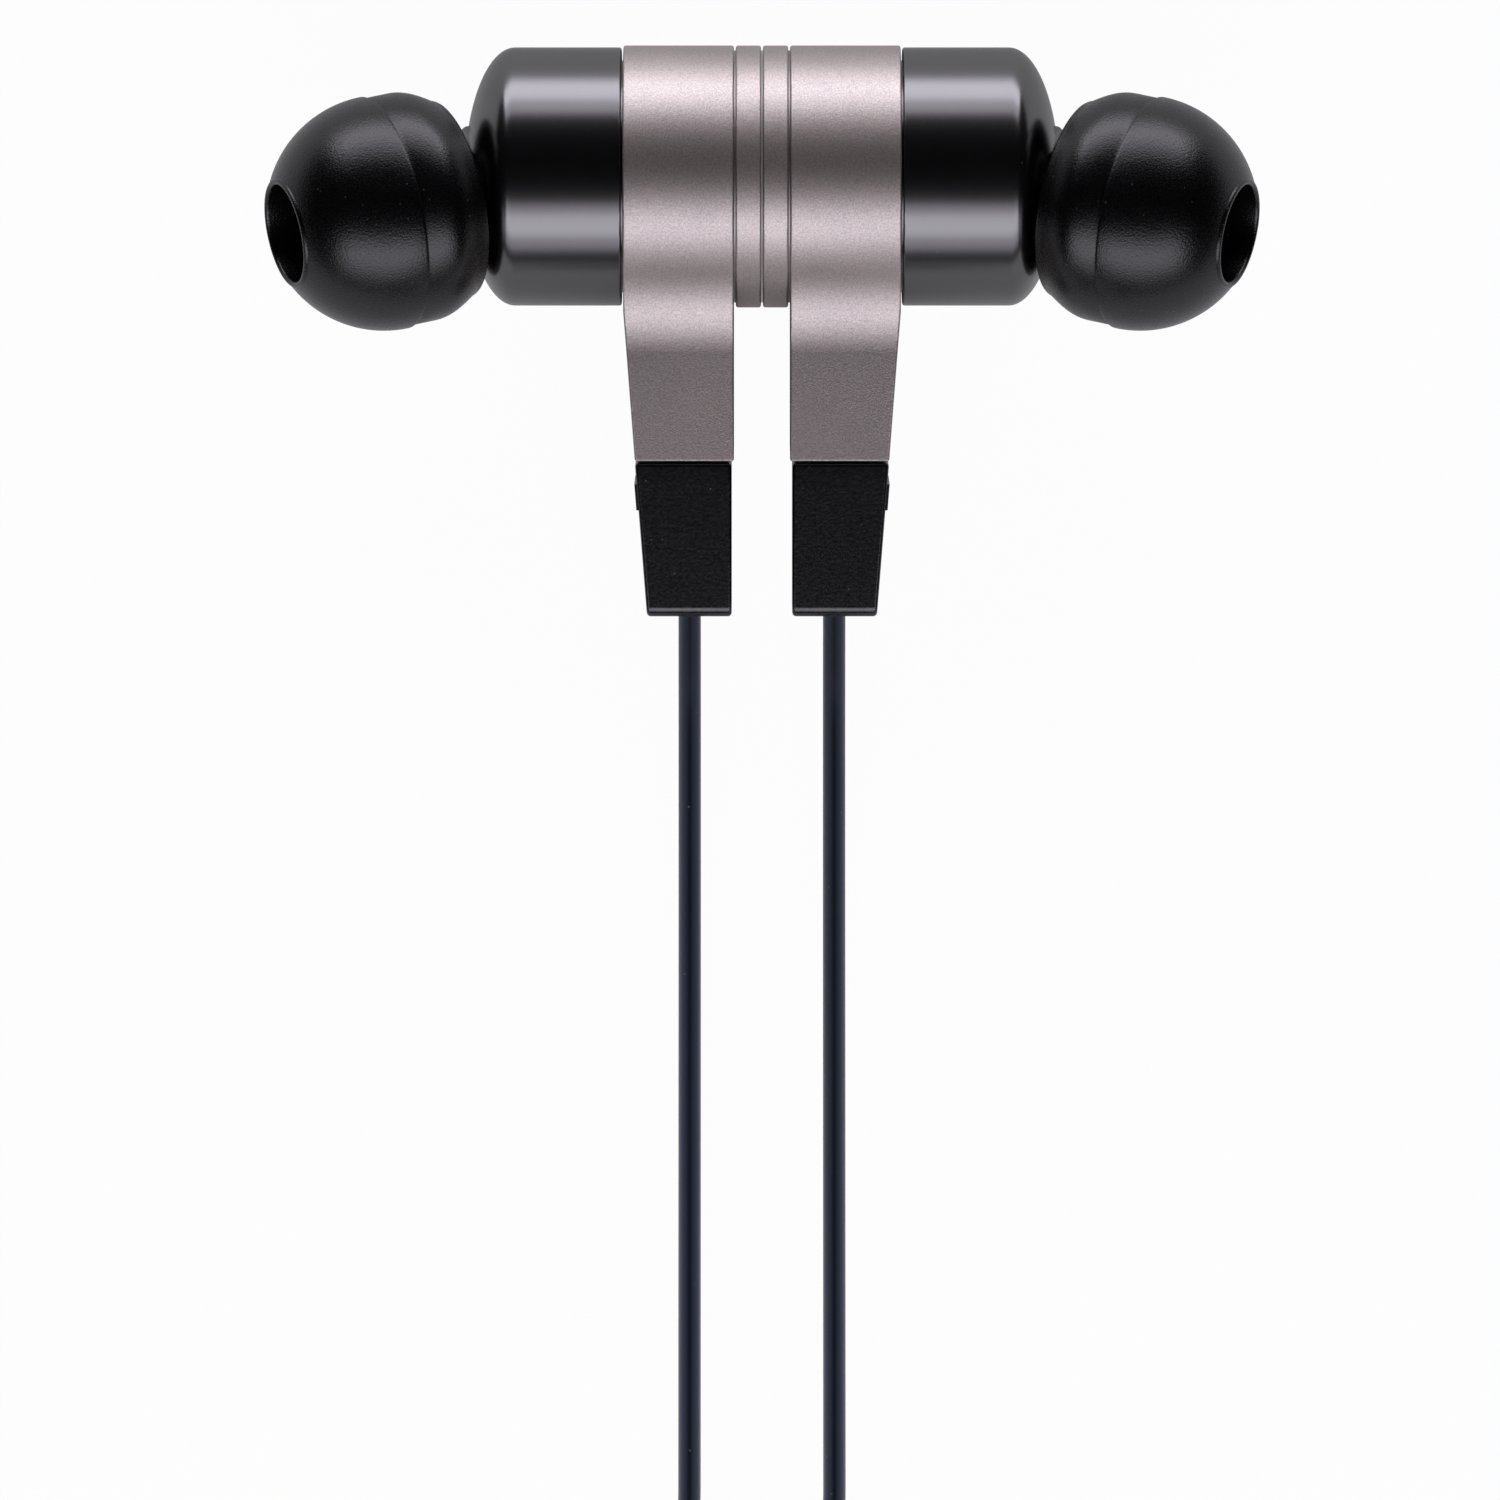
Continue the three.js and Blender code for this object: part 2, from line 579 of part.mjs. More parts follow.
function topPlate() {
  return disc(TOP_PLATE_START, TOP_PLATE_THICKNESS, TOP_PLATE_RADIUS, DRIVER_SIDES);
}

function voiceCoil() {
  const inner = TOP_PLATE_RADIUS + COIL_GAP;
  return ring(VOICE_COIL_END - COIL_LENGTH, COIL_LENGTH, inner, inner + COIL_WALL, DRIVER_SIDES);
}

/** Film dome with a half-roll surround and a flat rim glued to the frame. */
function diaphragm() {
  const coil = TOP_PLATE_RADIUS + COIL_GAP + COIL_WALL;
  const rim = FRAME_FRONT_RADIUS - GASKET_WIDTH;
  const section = [
    [DOME_HEIGHT, 0],
    [DOME_HEIGHT * 0.75, coil / 2],
    [0, coil],
    [SURROUND_HEIGHT, (coil + rim) / 2],
    [0, rim],
    [0, FRAME_FRONT_RADIUS],
  ];
  const under = section.map(([height, radius]) => [DIAPHRAGM_START + height, radius]);
  const over = section.map(([height, radius]) => [DIAPHRAGM_START + height + FILM, radius]).reverse();
  return turned([...under, ...over], DRIVER_SIDES);
}

function driverGasket() {
  const inner = FRAME_FRONT_RADIUS - GASKET_WIDTH;
  return ring(GASKET_START, GASKET_THICKNESS, inner, FRAME_FRONT_RADIUS, DRIVER_SIDES);
}

/** Drilled plate that guards the diaphragm. */
function driverGrille() {
  let plate = solid(disc(GRILLE_START, GRILLE_THICKNESS, FRAME_FRONT_RADIUS, DRIVER_SIDES));
  const hole = disc(GRILLE_START - 1, GRILLE_THICKNESS + 2, GRILLE_HOLE, CORD_SIDES);
  plate = plate.subtract(solid(hole));
  for (let i = 0; i < GRILLE_HOLES; i += 1) {
    const placed = hole.clone().translate(0, GRILLE_HOLE_CIRCLE, 0).rotateX(2 * Math.PI * i / GRILLE_HOLES);
    plate = plate.subtract(solid(placed));
  }
  return geometryOf(plate);
}

// ---------------------------------------------------------------- boot and the cord inside

/** Width of the boot, clasp side to outer side, at a height below the clasp axis. */
function bootOuter(y) {
  const share = (y - BOOT_TOP) / (BOOT_END - BOOT_TOP);
  const top = REAR_START + STEM_END_WIDTH;
  const end = REAR_START + BOOT_INSET + BOOT_END_WIDTH;
  return top + (end - top) * share;
}

/** Rubber boot with a raised pad on its outer side and a tongue glued into the stem. */
function boot() {
  const inner = REAR_START + BOOT_INSET;
  const padTop = BOOT_TOP - PAD_DROP;
  const padEnd = padTop - PAD_LENGTH;
  const front = outline([
    [inner, BOOT_TOP, BOOT_TOP_CORNER],
    [inner, BOOT_END, BOOT_CORNER],
    [bootOuter(BOOT_END), BOOT_END, BOOT_CORNER],
    [bootOuter(padEnd), padEnd],
    [bootOuter(padEnd) + PAD_HEIGHT, padEnd],
    [bootOuter(padTop) + PAD_HEIGHT, padTop],
    [bootOuter(padTop), padTop],
    [bootOuter(BOOT_TOP), BOOT_TOP, BOOT_TOP_CORNER],
  ]);
  const side = outline([
    [BOOT_TOP, -BOOT_TOP_HALF_DEPTH, BOOT_TOP_CORNER],
    [BOOT_TOP, BOOT_TOP_HALF_DEPTH, BOOT_TOP_CORNER],
    [BOOT_END, BOOT_END_HALF_DEPTH, BOOT_END_ROUND],
    [BOOT_END, -BOOT_END_HALF_DEPTH, BOOT_END_ROUND],
  ]);
  const body = solid(alongZ(front, -STEM_FILLET, STEM_FILLET)).intersect(solid(alongX(side, 0, REAR_END)));
  const middle = CORD_OFFSET + FIT;
  const halfWidth = CHANNEL_HALF_WIDTH - FIT;
  const halfDepth = CHANNEL_HALF_DEPTH - FIT;
  const tongue = solid(box(
    middle - halfWidth, middle + halfWidth,
    BOOT_TOP - BOOT_CORNER, BOOT_TOP + TONGUE_LENGTH,
    -halfDepth, halfDepth,
  ));
  const boreRadius = CORD_RADIUS + CORD_BORE_SLACK;
  const bore = solid(rodY(CORD_OFFSET, BOOT_END - 1, BOOT_TOP + TONGUE_LENGTH + 1, boreRadius, CORD_SIDES));
  return geometryOf(body.add(tongue).subtract(bore));
}

/** The jacketed cord from the mouth of the boot to the stripped end inside the stem. */
function innerCord() {
  return rodY(CORD_OFFSET, BOOT_END + FIT, -INNER_CORD_END, CORD_RADIUS, CORD_SIDES);
}

/** Collar crimped on the cord, which stops it being pulled out through the boot. */
function cordCrimp() {
  const inner = CORD_RADIUS + FIT;
  const collar = ring(CRIMP_START, CRIMP_LENGTH, inner, CRIMP_RADIUS, CORD_SIDES);
  return collar.rotateZ(-Math.PI / 2).translate(CORD_OFFSET, 0, 0);
}

/** One stripped conductor, from the jacket's end to the edge of the solder board. */
function conductor(side) {
  const board = BOARD_START + BOARD_THICKNESS / 2;
  return cord([
    new THREE.Vector3(CORD_OFFSET, -INNER_CORD_END + FIT, side * (WIRE_RADIUS + FIT)),
    new THREE.Vector3((CORD_OFFSET + board) / 2, -(INNER_CORD_END + BOARD_RADIUS) / 2, side * 0.8),
    new THREE.Vector3(board, -BOARD_RADIUS - FIT, side * 0.6),
  ], WIRE_RADIUS);
}

// ---------------------------------------------------------------- one earpiece

/** Every piece of one earpiece, on the +X side of the clasp; the left one is its mirror image. */
function earpiece(side) {
  const group = new THREE.Group();
  group.add(named(`${side}_end_cap`, endCap(), ALUMINIUM));
  group.add(named(`${side}_rear_housing`, rearHousing(), ALUMINIUM));
  group.add(named(`${side}_front_housing`, frontHousing(), BLACK_SHELL));
  group.add(named(`${side}_clasp_magnet`, claspMagnet(), MAGNET));
  group.add(named(`${side}_magnet_keeper`, magnetKeeper(), STEEL));
  group.add(named(`${side}_solder_board`, solderBoard(), BOARD));
  group.add(named(`${side}_driver_frame`, driverFrame(), RUBBER));
  group.add(named(`${side}_driver_yoke`, driverYoke(), STEEL));
  group.add(named(`${side}_driver_magnet`, driverMagnet(), MAGNET));
  group.add(named(`${side}_top_plate`, topPlate(), STEEL));
  group.add(named(`${side}_voice_coil`, voiceCoil(), COPPER));
  group.add(named(`${side}_diaphragm`, diaphragm(), FILM_PLASTIC));
  group.add(named(`${side}_driver_gasket`, driverGasket(), FOAM));
  group.add(named(`${side}_driver_grille`, driverGrille(), STEEL));
  group.add(named(`${side}_boot`, boot(), RUBBER));
  group.add(named(`${side}_inner_cord`, innerCord(), JACKET));
  group.add(named(`${side}_cord_crimp`, cordCrimp(), STEEL));
  group.add(named(`${side}_signal_wire`, conductor(1), COPPER));
  group.add(named(`${side}_return_wire`, conductor(-1), COPPER));

  const nozzle = new THREE.Group();
  nozzle.position.set(NOZZLE_START, 0, 0);
  nozzle.quaternion.setFromUnitVectors(X, NOZZLE_DIRECTION);
  nozzle.add(named(`${side}_nozzle_mesh`, nozzleMesh(), STEEL));
  nozzle.add(named(`${side}_nozzle_damper`, nozzleDamper(), FOAM));
  nozzle.add(named(`${side}_ear_tip`, earTip(), SILICONE));
  group.add(nozzle);
  return group;
}

// ---------------------------------------------------------------- how the pair lies

// The round housings and the rounded back edges of the boots' ends all touch the table.
const bootSlope = (BOOT_TOP_HALF_DEPTH - BOOT_END_HALF_DEPTH) / BOOT_LENGTH;
const restY = -(BOOT_END + BOOT_END_ROUND);
const restZ = BOOT_END_HALF_DEPTH - BOOT_END_ROUND * (Math.hypot(1, bootSlope) - bootSlope);
const restDrop = HOUSING_RADIUS - BOOT_END_ROUND;
const TILT = Math.asin(restDrop / Math.hypot(restY, restZ)) - Math.atan2(restZ, restY);

// Middle of the pair, from the back of the housings to the ends of the boots.
const pairFront = -restY * Math.cos(TILT) - restZ * Math.sin(TILT) - BOOT_END_ROUND;
const PAIR_Y = -(HOUSING_RADIUS + pairFront) / 2;

function clasppedPair() {
  const pair = new THREE.Group();
  const left = earpiece('left');
  left.scale.x = -1;
  pair.add(left, earpiece('right'));
  pair.rotation.x = TILT;
  pair.position.set(0, PAIR_Y, HOUSING_RADIUS);
  return pair;
}

// ---------------------------------------------------------------- leads, coil and plug
// Y runs from the clasp axis here; the group that holds these pieces is moved with the pair.

/** The point on a lead's line at a distance beyond the mouth of its boot. */
function beyondBoot(x, distance) {
  const along = BOOT_END - distance;
  return new THREE.Vector3(x, along * Math.cos(TILT), HOUSING_RADIUS + along * Math.sin(TILT));
}

/** A lead from its boot down to the table, straight along it, and round to the coil. */
function lead(side, end) {
  const x = side * CORD_OFFSET;
  const table = [
    [x, -33, 1.1],
    [x, -37.5, 0.72],
    [x, -42, 0.64],
    [x, -52, 0.64],
    [x, -62, 0.64],
    [x, -72, 0.64],
  ];
  const route = [...table, ...end].map((point) => new THREE.Vector3(...point));
  return cord([beyondBoot(x, CORD_GAP), beyondBoot(x, 3), beyondBoot(x, 5.5), ...route], CORD_RADIUS);
}

function leftLead() {
  return lead(-1, [
    [-3.3, -75.4, 0.66],
    [-1.9, -78.0, 0.75],
    [0.24, -80.1, 0.9],
    [2.32, -81.6, 1.1],
  ]);
}

function rightLead() {
  return lead(1, [
    [4.3, -75.0, 0.7],
    [5.3, -77.4, 1.0],
    [7.0, -80.9, 1.7],
    [8.79, -84.4, 2.3],
  ]);
}

/** The spare cord's outer shape: a round ring of turns that stands on its two ties. */
function cordCoil() {
  const base = TIE_THICKNESS + FIT;
  const top = base + COIL_HEIGHT;
  const section = outline([
    [COIL_INNER, base, COIL_EDGE],
    [COIL_OUTER, base, COIL_EDGE],
    [COIL_OUTER, top, COIL_EDGE],
    [COIL_INNER, top, COIL_EDGE],
  ]).getPoints(1);
  const coil = new THREE.LatheGeometry([...section, section[0]], HOUSING_SIDES);
  return coil.rotateX(Math.PI / 2).translate(COIL_CENTRE.x, COIL_CENTRE.y, 0);
}

/** A soft strap wrapped once round the turns, on one side of the coil. */
function coilTie(side) {
  const reach = TIE_THICKNESS + FIT;
  const inner = Math.sqrt(COIL_INNER ** 2 - (TIE_WIDTH / 2) ** 2);
  const wrap = (grow, width) => solid(box(
    inner - grow, COIL_OUTER + grow,
    -width / 2, width / 2,
    reach - grow, reach + COIL_HEIGHT + grow,
  ));
  const loop = geometryOf(wrap(reach, TIE_WIDTH).subtract(wrap(FIT, TIE_WIDTH * 2)));
  return loop.rotateZ(side > 0 ? 0 : Math.PI).translate(COIL_CENTRE.x, COIL_CENTRE.y, 0);
}

/** Moulded block inside the coil, where the two leads become one. */
function ySplit() {
  const x = SPLIT_LENGTH / 2;
  const y = SPLIT_WIDTH / 2;
  const block = outline([
    [-x, -y, SPLIT_CORNER],
    [x, -y, SPLIT_CORNER],
    [x, y, SPLIT_CORNER],
    [-x, y, SPLIT_CORNER],
  ]);
  return alongZ(block, 0, SPLIT_HEIGHT).translate(COIL_CENTRE.x, COIL_CENTRE.y - SPLIT_OFFSET, 0);
}

/** The end of the joined cord: off the top of the coil, down to the table and round to the plug. */
function trunkTail() {
  const route = [
    [-0.28, -110.56, 5.3],
    [-3.3, -113.6, 4.1],
    [-6.34, -116.6, 2.6],
    [-9.1, -118.4, 1.3],
    [-12.0, -119.0, 0.7],
    [-15.1, -118.3, 0.7],
    [-17.8, -116.4, 1.0],
    [-19.5, -113.8, 1.7],
    [-20.0, -111.8, 2.4],
  ].map((point) => new THREE.Vector3(...point));
  const end = new THREE.Vector3(PLUG_X, PLUG_START - CORD_GAP, SHELL_RADIUS);
  return cord([...route, end], CORD_RADIUS);
}

// Distances along the plug from the start of its strain relief.
const SHELL_START = RELIEF_LENGTH + FIT;
const PIN_START = SHELL_START + SHELL_LENGTH;
const TIP_CONTACT_START = PIN_START + PIN_LENGTH - TIP_CONTACT_LENGTH;
const FRONT_INSULATOR_START = TIP_CONTACT_START - FIT - INSULATOR_LENGTH;
const RING_START = FRONT_INSULATOR_START - FIT - RING_LENGTH;
const REAR_INSULATOR_START = RING_START - FIT - INSULATOR_LENGTH;
const SLEEVE_END = REAR_INSULATOR_START - FIT;
const SLEEVE_START = PIN_START - PIN_SEAT;

function plugRelief() {
  return turned([
    [0, 0],
    [0, RELIEF_START_RADIUS],
    [RELIEF_LENGTH, RELIEF_END_RADIUS],
    [RELIEF_LENGTH, 0],
  ], PLUG_SIDES);
}

/** Grip of the plug, bored in front for the contact pin. */
function plugShell() {
  return turned([
    [SHELL_START, 0],
    [SHELL_START, SHELL_RADIUS - SHELL_CHAMFER],
    [SHELL_START + SHELL_CHAMFER, SHELL_RADIUS],
    [PIN_START - SHELL_CHAMFER, SHELL_RADIUS],
    [PIN_START, SHELL_RADIUS - SHELL_CHAMFER],
    [PIN_START, PIN_RADIUS + FIT],
    [SLEEVE_START - FIT, PIN_RADIUS + FIT],
    [SLEEVE_START - FIT, 0],
  ], PLUG_SIDES);
}

function pinRing(start, length) {
  return ring(start, length, PIN_ROD + FIT, PIN_RADIUS, PLUG_SIDES);
}

/** Tip contact: a rounded head behind a waist, on the rod that the other contacts are stacked on. */
function plugTip() {
  const end = PIN_START + PIN_LENGTH;
  return turned([
    [SLEEVE_START, 0],
    [SLEEVE_START, PIN_ROD],
    [TIP_CONTACT_START, PIN_ROD],
    [TIP_CONTACT_START, PIN_RADIUS],
    [TIP_CONTACT_START + TIP_CONTACT_LENGTH * 0.12, PIN_RADIUS],
    [TIP_CONTACT_START + TIP_CONTACT_LENGTH * 0.35, TIP_CONTACT_WAIST],
    [TIP_CONTACT_START + TIP_CONTACT_LENGTH * 0.5, PIN_RADIUS],
    [end - TIP_CONTACT_LENGTH * 0.15, TIP_CONTACT_WAIST],
    [end, PIN_ROD],
    [end, 0],
  ], PLUG_SIDES);
}

function plug() {
  const group = new THREE.Group();
  const rearInsulator = pinRing(REAR_INSULATOR_START, INSULATOR_LENGTH);
  const frontInsulator = pinRing(FRONT_INSULATOR_START, INSULATOR_LENGTH);
  group.add(named('plug_relief', plugRelief(), RUBBER));
  group.add(named('plug_shell', plugShell(), ALUMINIUM));
  group.add(named('plug_sleeve', pinRing(SLEEVE_START, SLEEVE_END - SLEEVE_START), GOLD));
  group.add(named('plug_rear_insulator', rearInsulator, INSULATOR));
  group.add(named('plug_ring', pinRing(RING_START, RING_LENGTH), GOLD));
  group.add(named('plug_front_insulator', frontInsulator, INSULATOR));
  group.add(named('plug_tip', plugTip(), GOLD));
  group.rotation.z = Math.PI / 2;
  group.position.set(PLUG_X, PLUG_START, SHELL_RADIUS);
  return group;
}

function leads() {
  const group = new THREE.Group();
  group.add(named('left_cord', leftLead(), JACKET));
  group.add(named('right_cord', rightLead(), JACKET));
  group.add(named('cord_coil', cordCoil(), JACKET));
  group.add(named('left_coil_tie', coilTie(-1), RUBBER));
  group.add(named('right_coil_tie', coilTie(1), RUBBER));
  group.add(named('y_split', ySplit(), RUBBER));
  group.add(named('trunk_cord', trunkTail(), JACKET));
  group.add(plug());
  group.position.y = PAIR_Y;
  return group;
}

const group = new THREE.Group();
group.add(clasppedPair(), leads());

export default group;
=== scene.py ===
# %% [markdown]
# # Wired earphones
#
# Two in-ear earpieces hang together by the magnets in their backs, and their cords run down to a coil.
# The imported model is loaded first, as a fixed frame: it holds every piece at its real size, what the
# pieces ride on and the joints. This script adds the looks around it. Places come from the frame's
# boxes, so that a new piece lies where its plain solid lies.

# %% Load the frame
import json
import math

import bmesh
import bpy
from mathutils import Matrix, Vector

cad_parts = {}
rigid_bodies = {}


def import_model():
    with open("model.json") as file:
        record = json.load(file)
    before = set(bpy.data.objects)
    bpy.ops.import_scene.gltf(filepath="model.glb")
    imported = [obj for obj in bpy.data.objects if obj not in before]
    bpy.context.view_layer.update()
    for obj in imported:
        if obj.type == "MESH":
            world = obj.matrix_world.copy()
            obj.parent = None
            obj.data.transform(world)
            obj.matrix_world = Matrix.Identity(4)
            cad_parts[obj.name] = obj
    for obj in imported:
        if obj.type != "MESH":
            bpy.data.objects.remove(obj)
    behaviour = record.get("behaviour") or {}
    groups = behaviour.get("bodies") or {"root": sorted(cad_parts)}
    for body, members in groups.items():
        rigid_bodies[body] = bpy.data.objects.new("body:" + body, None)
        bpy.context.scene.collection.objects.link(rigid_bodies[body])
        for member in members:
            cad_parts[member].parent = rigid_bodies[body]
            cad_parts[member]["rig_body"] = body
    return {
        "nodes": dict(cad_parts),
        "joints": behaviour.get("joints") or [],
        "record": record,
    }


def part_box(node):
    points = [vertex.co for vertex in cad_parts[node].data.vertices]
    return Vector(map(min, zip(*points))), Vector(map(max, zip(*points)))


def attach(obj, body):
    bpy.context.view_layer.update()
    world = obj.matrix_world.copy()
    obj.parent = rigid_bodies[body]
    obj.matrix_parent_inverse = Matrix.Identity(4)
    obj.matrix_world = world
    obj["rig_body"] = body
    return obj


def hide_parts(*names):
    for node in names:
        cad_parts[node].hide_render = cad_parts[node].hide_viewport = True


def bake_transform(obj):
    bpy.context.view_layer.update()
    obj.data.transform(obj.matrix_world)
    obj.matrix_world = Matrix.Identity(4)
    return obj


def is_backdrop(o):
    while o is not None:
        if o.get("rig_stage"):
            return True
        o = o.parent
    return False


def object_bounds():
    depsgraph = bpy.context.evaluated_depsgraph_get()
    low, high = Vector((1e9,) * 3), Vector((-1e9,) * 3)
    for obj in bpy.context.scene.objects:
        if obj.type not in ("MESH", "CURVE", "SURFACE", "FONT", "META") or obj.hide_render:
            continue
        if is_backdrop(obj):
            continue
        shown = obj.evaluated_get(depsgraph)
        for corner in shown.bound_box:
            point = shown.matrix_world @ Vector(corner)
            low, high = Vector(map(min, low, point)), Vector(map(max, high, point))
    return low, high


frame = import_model()
cad_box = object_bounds()

# %% [markdown]
# ## Where the pair lies
#
# The pair rests on the rims of its housings and on the ends of its boots, so it leans forward a little.
# Nothing in the frame says the angle outright, but it can be measured: the length of cord inside a stem
# runs straight down from the clasp's centre. One matrix then carries a piece from the earpiece's own
# axes, in millimetres, into the frame in metres. X runs out along the clasp axis, Y runs up the stem and
# Z points at the viewer. A matrix is used, and not a parent, because each piece keeps its place in its mesh.

# %% Measure the clasp and the lean
MM = 0.001


def middle(*nodes):
    """The centre of the box round some of the frame's pieces."""
    corners = [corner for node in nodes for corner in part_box(node)]
    low = Vector([min(c[i] for c in corners) for i in range(3)])
    high = Vector([max(c[i] for c in corners) for i in range(3)])
    return (low + high) / 2


clasp = middle("left_end_cap", "right_end_cap")
hang = middle("left_inner_cord", "right_inner_cord") - clasp
lean = math.atan2(-hang.z, -hang.y)
lean_turn = Matrix.Rotation(lean, 4, "X")
earpiece_place = Matrix.Translation(clasp) @ lean_turn @ Matrix.Scale(MM, 4)
print("clasp at", [round(v / MM, 2) for v in clasp], "mm, leaning", round(math.degrees(lean), 2), "degrees")

# %% [markdown]
# ## Camera
#
# Small products are usually shown from far away with a long lens, so the discs in the middle show as
# thin bars and the stems stay parallel. The camera looks at the stems from a little above square, which
# tips their flat faces towards the lamp on the side of the cords. A short lens close by would frame the
# same width, but it would show the sides of the boots.

# %% Place the camera
VIEW_WIDTH = 80.25
VIEW_DISTANCE = 650
SENSOR_WIDTH = 36
VIEW_CENTRE = (-0.64, -30.68)
VIEW_TIP = 6.0

camera_data = bpy.data.cameras.new("camera")
camera_data.sensor_width = SENSOR_WIDTH
camera_data.lens = SENSOR_WIDTH * VIEW_DISTANCE / VIEW_WIDTH
camera_data.clip_end = 20
camera = bpy.data.objects.new("camera", camera_data)
view_turn = Matrix.Rotation(lean - math.radians(VIEW_TIP), 4, "X")
view_offset = Vector((*VIEW_CENTRE, VIEW_DISTANCE)) * MM
camera.matrix_world = Matrix.Translation(clasp) @ view_turn @ Matrix.Translation(view_offset)
bpy.context.collection.objects.link(camera)
bpy.context.scene.camera = camera
bpy.context.scene.view_settings.view_transform = "Standard"
print("lens", round(camera_data.lens, 1), "mm")

# %% [markdown]
# ## Cords
#
# A set like this has about 0.40 m of cord from each earpiece to the split, and about 0.80 m from there to
# the plug. The two leads drop out of the boots and lie on the table, and the rest is wound into a round
# coil with two ties. The leads could be simulated, but a limp cord on a flat table hardly moves, so listed
# points give the same shape and the same result each run. A Bezier curve with automatic handles
# passes through every point, and Blender works out the bends between them.

# %% Draw a smooth route through points
CORD_RADIUS = 0.6
ROUTE_STEPS = 6


def smooth_route(points):
    """Close points along one smooth curve through the given points."""
    curve = bpy.data.curves.new("route", "CURVE")
    curve.dimensions = "3D"
    curve.resolution_u = ROUTE_STEPS
    spline = curve.splines.new("BEZIER")
    spline.bezier_points.add(len(points) - 1)
    for knot, point in zip(spline.bezier_points, points):
        knot.co = point
        knot.handle_left_type = "AUTO"
        knot.handle_right_type = "AUTO"
    guide = bpy.data.objects.new("route", curve)
    bpy.context.collection.objects.link(guide)
    bpy.context.view_layer.update()
    route = [vertex.co.copy() for vertex in guide.to_mesh().vertices]
    bpy.data.objects.remove(guide)
    return route


def route_length(route):
    """The length of a route, in its own unit."""
    return sum((after - before).length for before, after in zip(route, route[1:]))


# %% [markdown]
# The coil is five turns wide and five rows high. In a hand-wound coil each turn lies in one slot and then
# steps over to the next, and a plain spiral would rise between the rows instead. So the coil is given as
# a list of slots, one for each turn, and the step to the next slot takes the last sixth of a turn.

# %% Wind a coil turn by turn
# INNER_TURN is the innermost turn's radius. SLOT_PITCH lies between slots and ROW_PITCH between rows.
INNER_TURN = 8.0
SLOT_PITCH = 1.25
FIRST_ROW = 1.1
ROW_PITCH = 1.22
STEP_SHARE = 1 / 6
TURN_POINTS = 24
coil_centre = middle("cord_coil")
coil_ground = Vector((coil_centre.x, coil_centre.y, 0)) / MM


def eased(share):
    """A share of a step from 0 to 1 that starts and ends gently."""
    return share * share * (3 - 2 * share)


def wound(start_angle, slots, last_share):
    """Points of a coil wound clockwise from an angle in degrees, with a part of its last turn.

    slots holds (slot, row) for each turn.
    """
    points = []
    for turn, (slot, row) in enumerate(slots):
        last = turn == len(slots) - 1
        next_slot, next_row = slots[turn] if last else slots[turn + 1]
        for step in range(round(TURN_POINTS * last_share) if last else TURN_POINTS):
            share = step / TURN_POINTS
            shift = eased(max(0, (share - 1 + STEP_SHARE) / STEP_SHARE))
            radius = INNER_TURN + SLOT_PITCH * (slot + shift * (next_slot - slot))
            height = FIRST_ROW + ROW_PITCH * (row + shift * (next_row - row))
            angle = math.radians(start_angle) - math.tau * share
            points.append(coil_ground + Vector((radius * math.cos(angle), radius * math.sin(angle), height)))
    return points


inward = [4, 3, 2, 1, 0]
outward = inward[::-1]
left_coil = wound(start_angle=53.9, slots=[(slot, 0) for slot in inward], last_share=0.74)
right_coil = wound(start_angle=26.0, slots=[(slot, 1) for slot in inward], last_share=0.66)
trunk_slots = [(slot, 2) for slot in outward] + [(slot, 3) for slot in inward] + [(0, 4), (1.7, 4)]
trunk_coil = wound(start_angle=-166.0, slots=trunk_slots, last_share=0.67)
print("points in the coil:", len(left_coil) + len(right_coil) + len(trunk_coil))

# %% [markdown]
# Each lead starts inside its boot, runs straight out, touches down and follows the table. Near the coil
# the right lead lies over the left one. Points before the coil are measured from the foot of the clasp,
# and those round the split from the coil's centre. LYING is the height of a lying cord's middle, a hair
# more than its radius.

# %% Lay out the three cords
LEAD_X = 3.88
BOOT_MOUTH = -23.43
LEAD_JOIN = -53.0
LYING = 0.64
ahead_of_clasp = Vector((0, clasp.y / MM, 0))


def from_clasp(points):
    return [ahead_of_clasp + Vector(point) for point in points]


def from_coil(points):
    return [coil_ground + Vector(point) for point in points]


def lead_start(side):
    """The first points of a lead, in line with its boot, and those down to the join."""
    out_of_boot = [-1.0, 0.3, 3.0, 5.5]
    straight = [earpiece_place @ Vector((side * LEAD_X, BOOT_MOUTH - out, 0)) / MM for out in out_of_boot]
    down = from_clasp([(side * LEAD_X, y, z) for y, z in ((-33, 1.1), (-37.5, 0.72), (-42, LYING))])
    return straight + down + from_clasp([(side * LEAD_X, LEAD_JOIN, LYING)])


def lead_middle(side):
    return from_clasp([(side * LEAD_X, y, LYING) for y in (-58, -63, -67, -70, -72)])


def into_split(height):
    """The short way from the innermost turn, round the inside of the coil, to the split."""
    plan = [(-5.2, 5.7), (-3.1, 6.1), (-0.6, 6.1), (2.0, 5.6), (4.2, 4.2), (5.4, 2.2), (5.75, 0.2)]
    plan += [(5.55, -1.5), (4.95, -2.8), (4.0, -3.7)]
    return from_coil([(x, y, height) for x, y in plan])


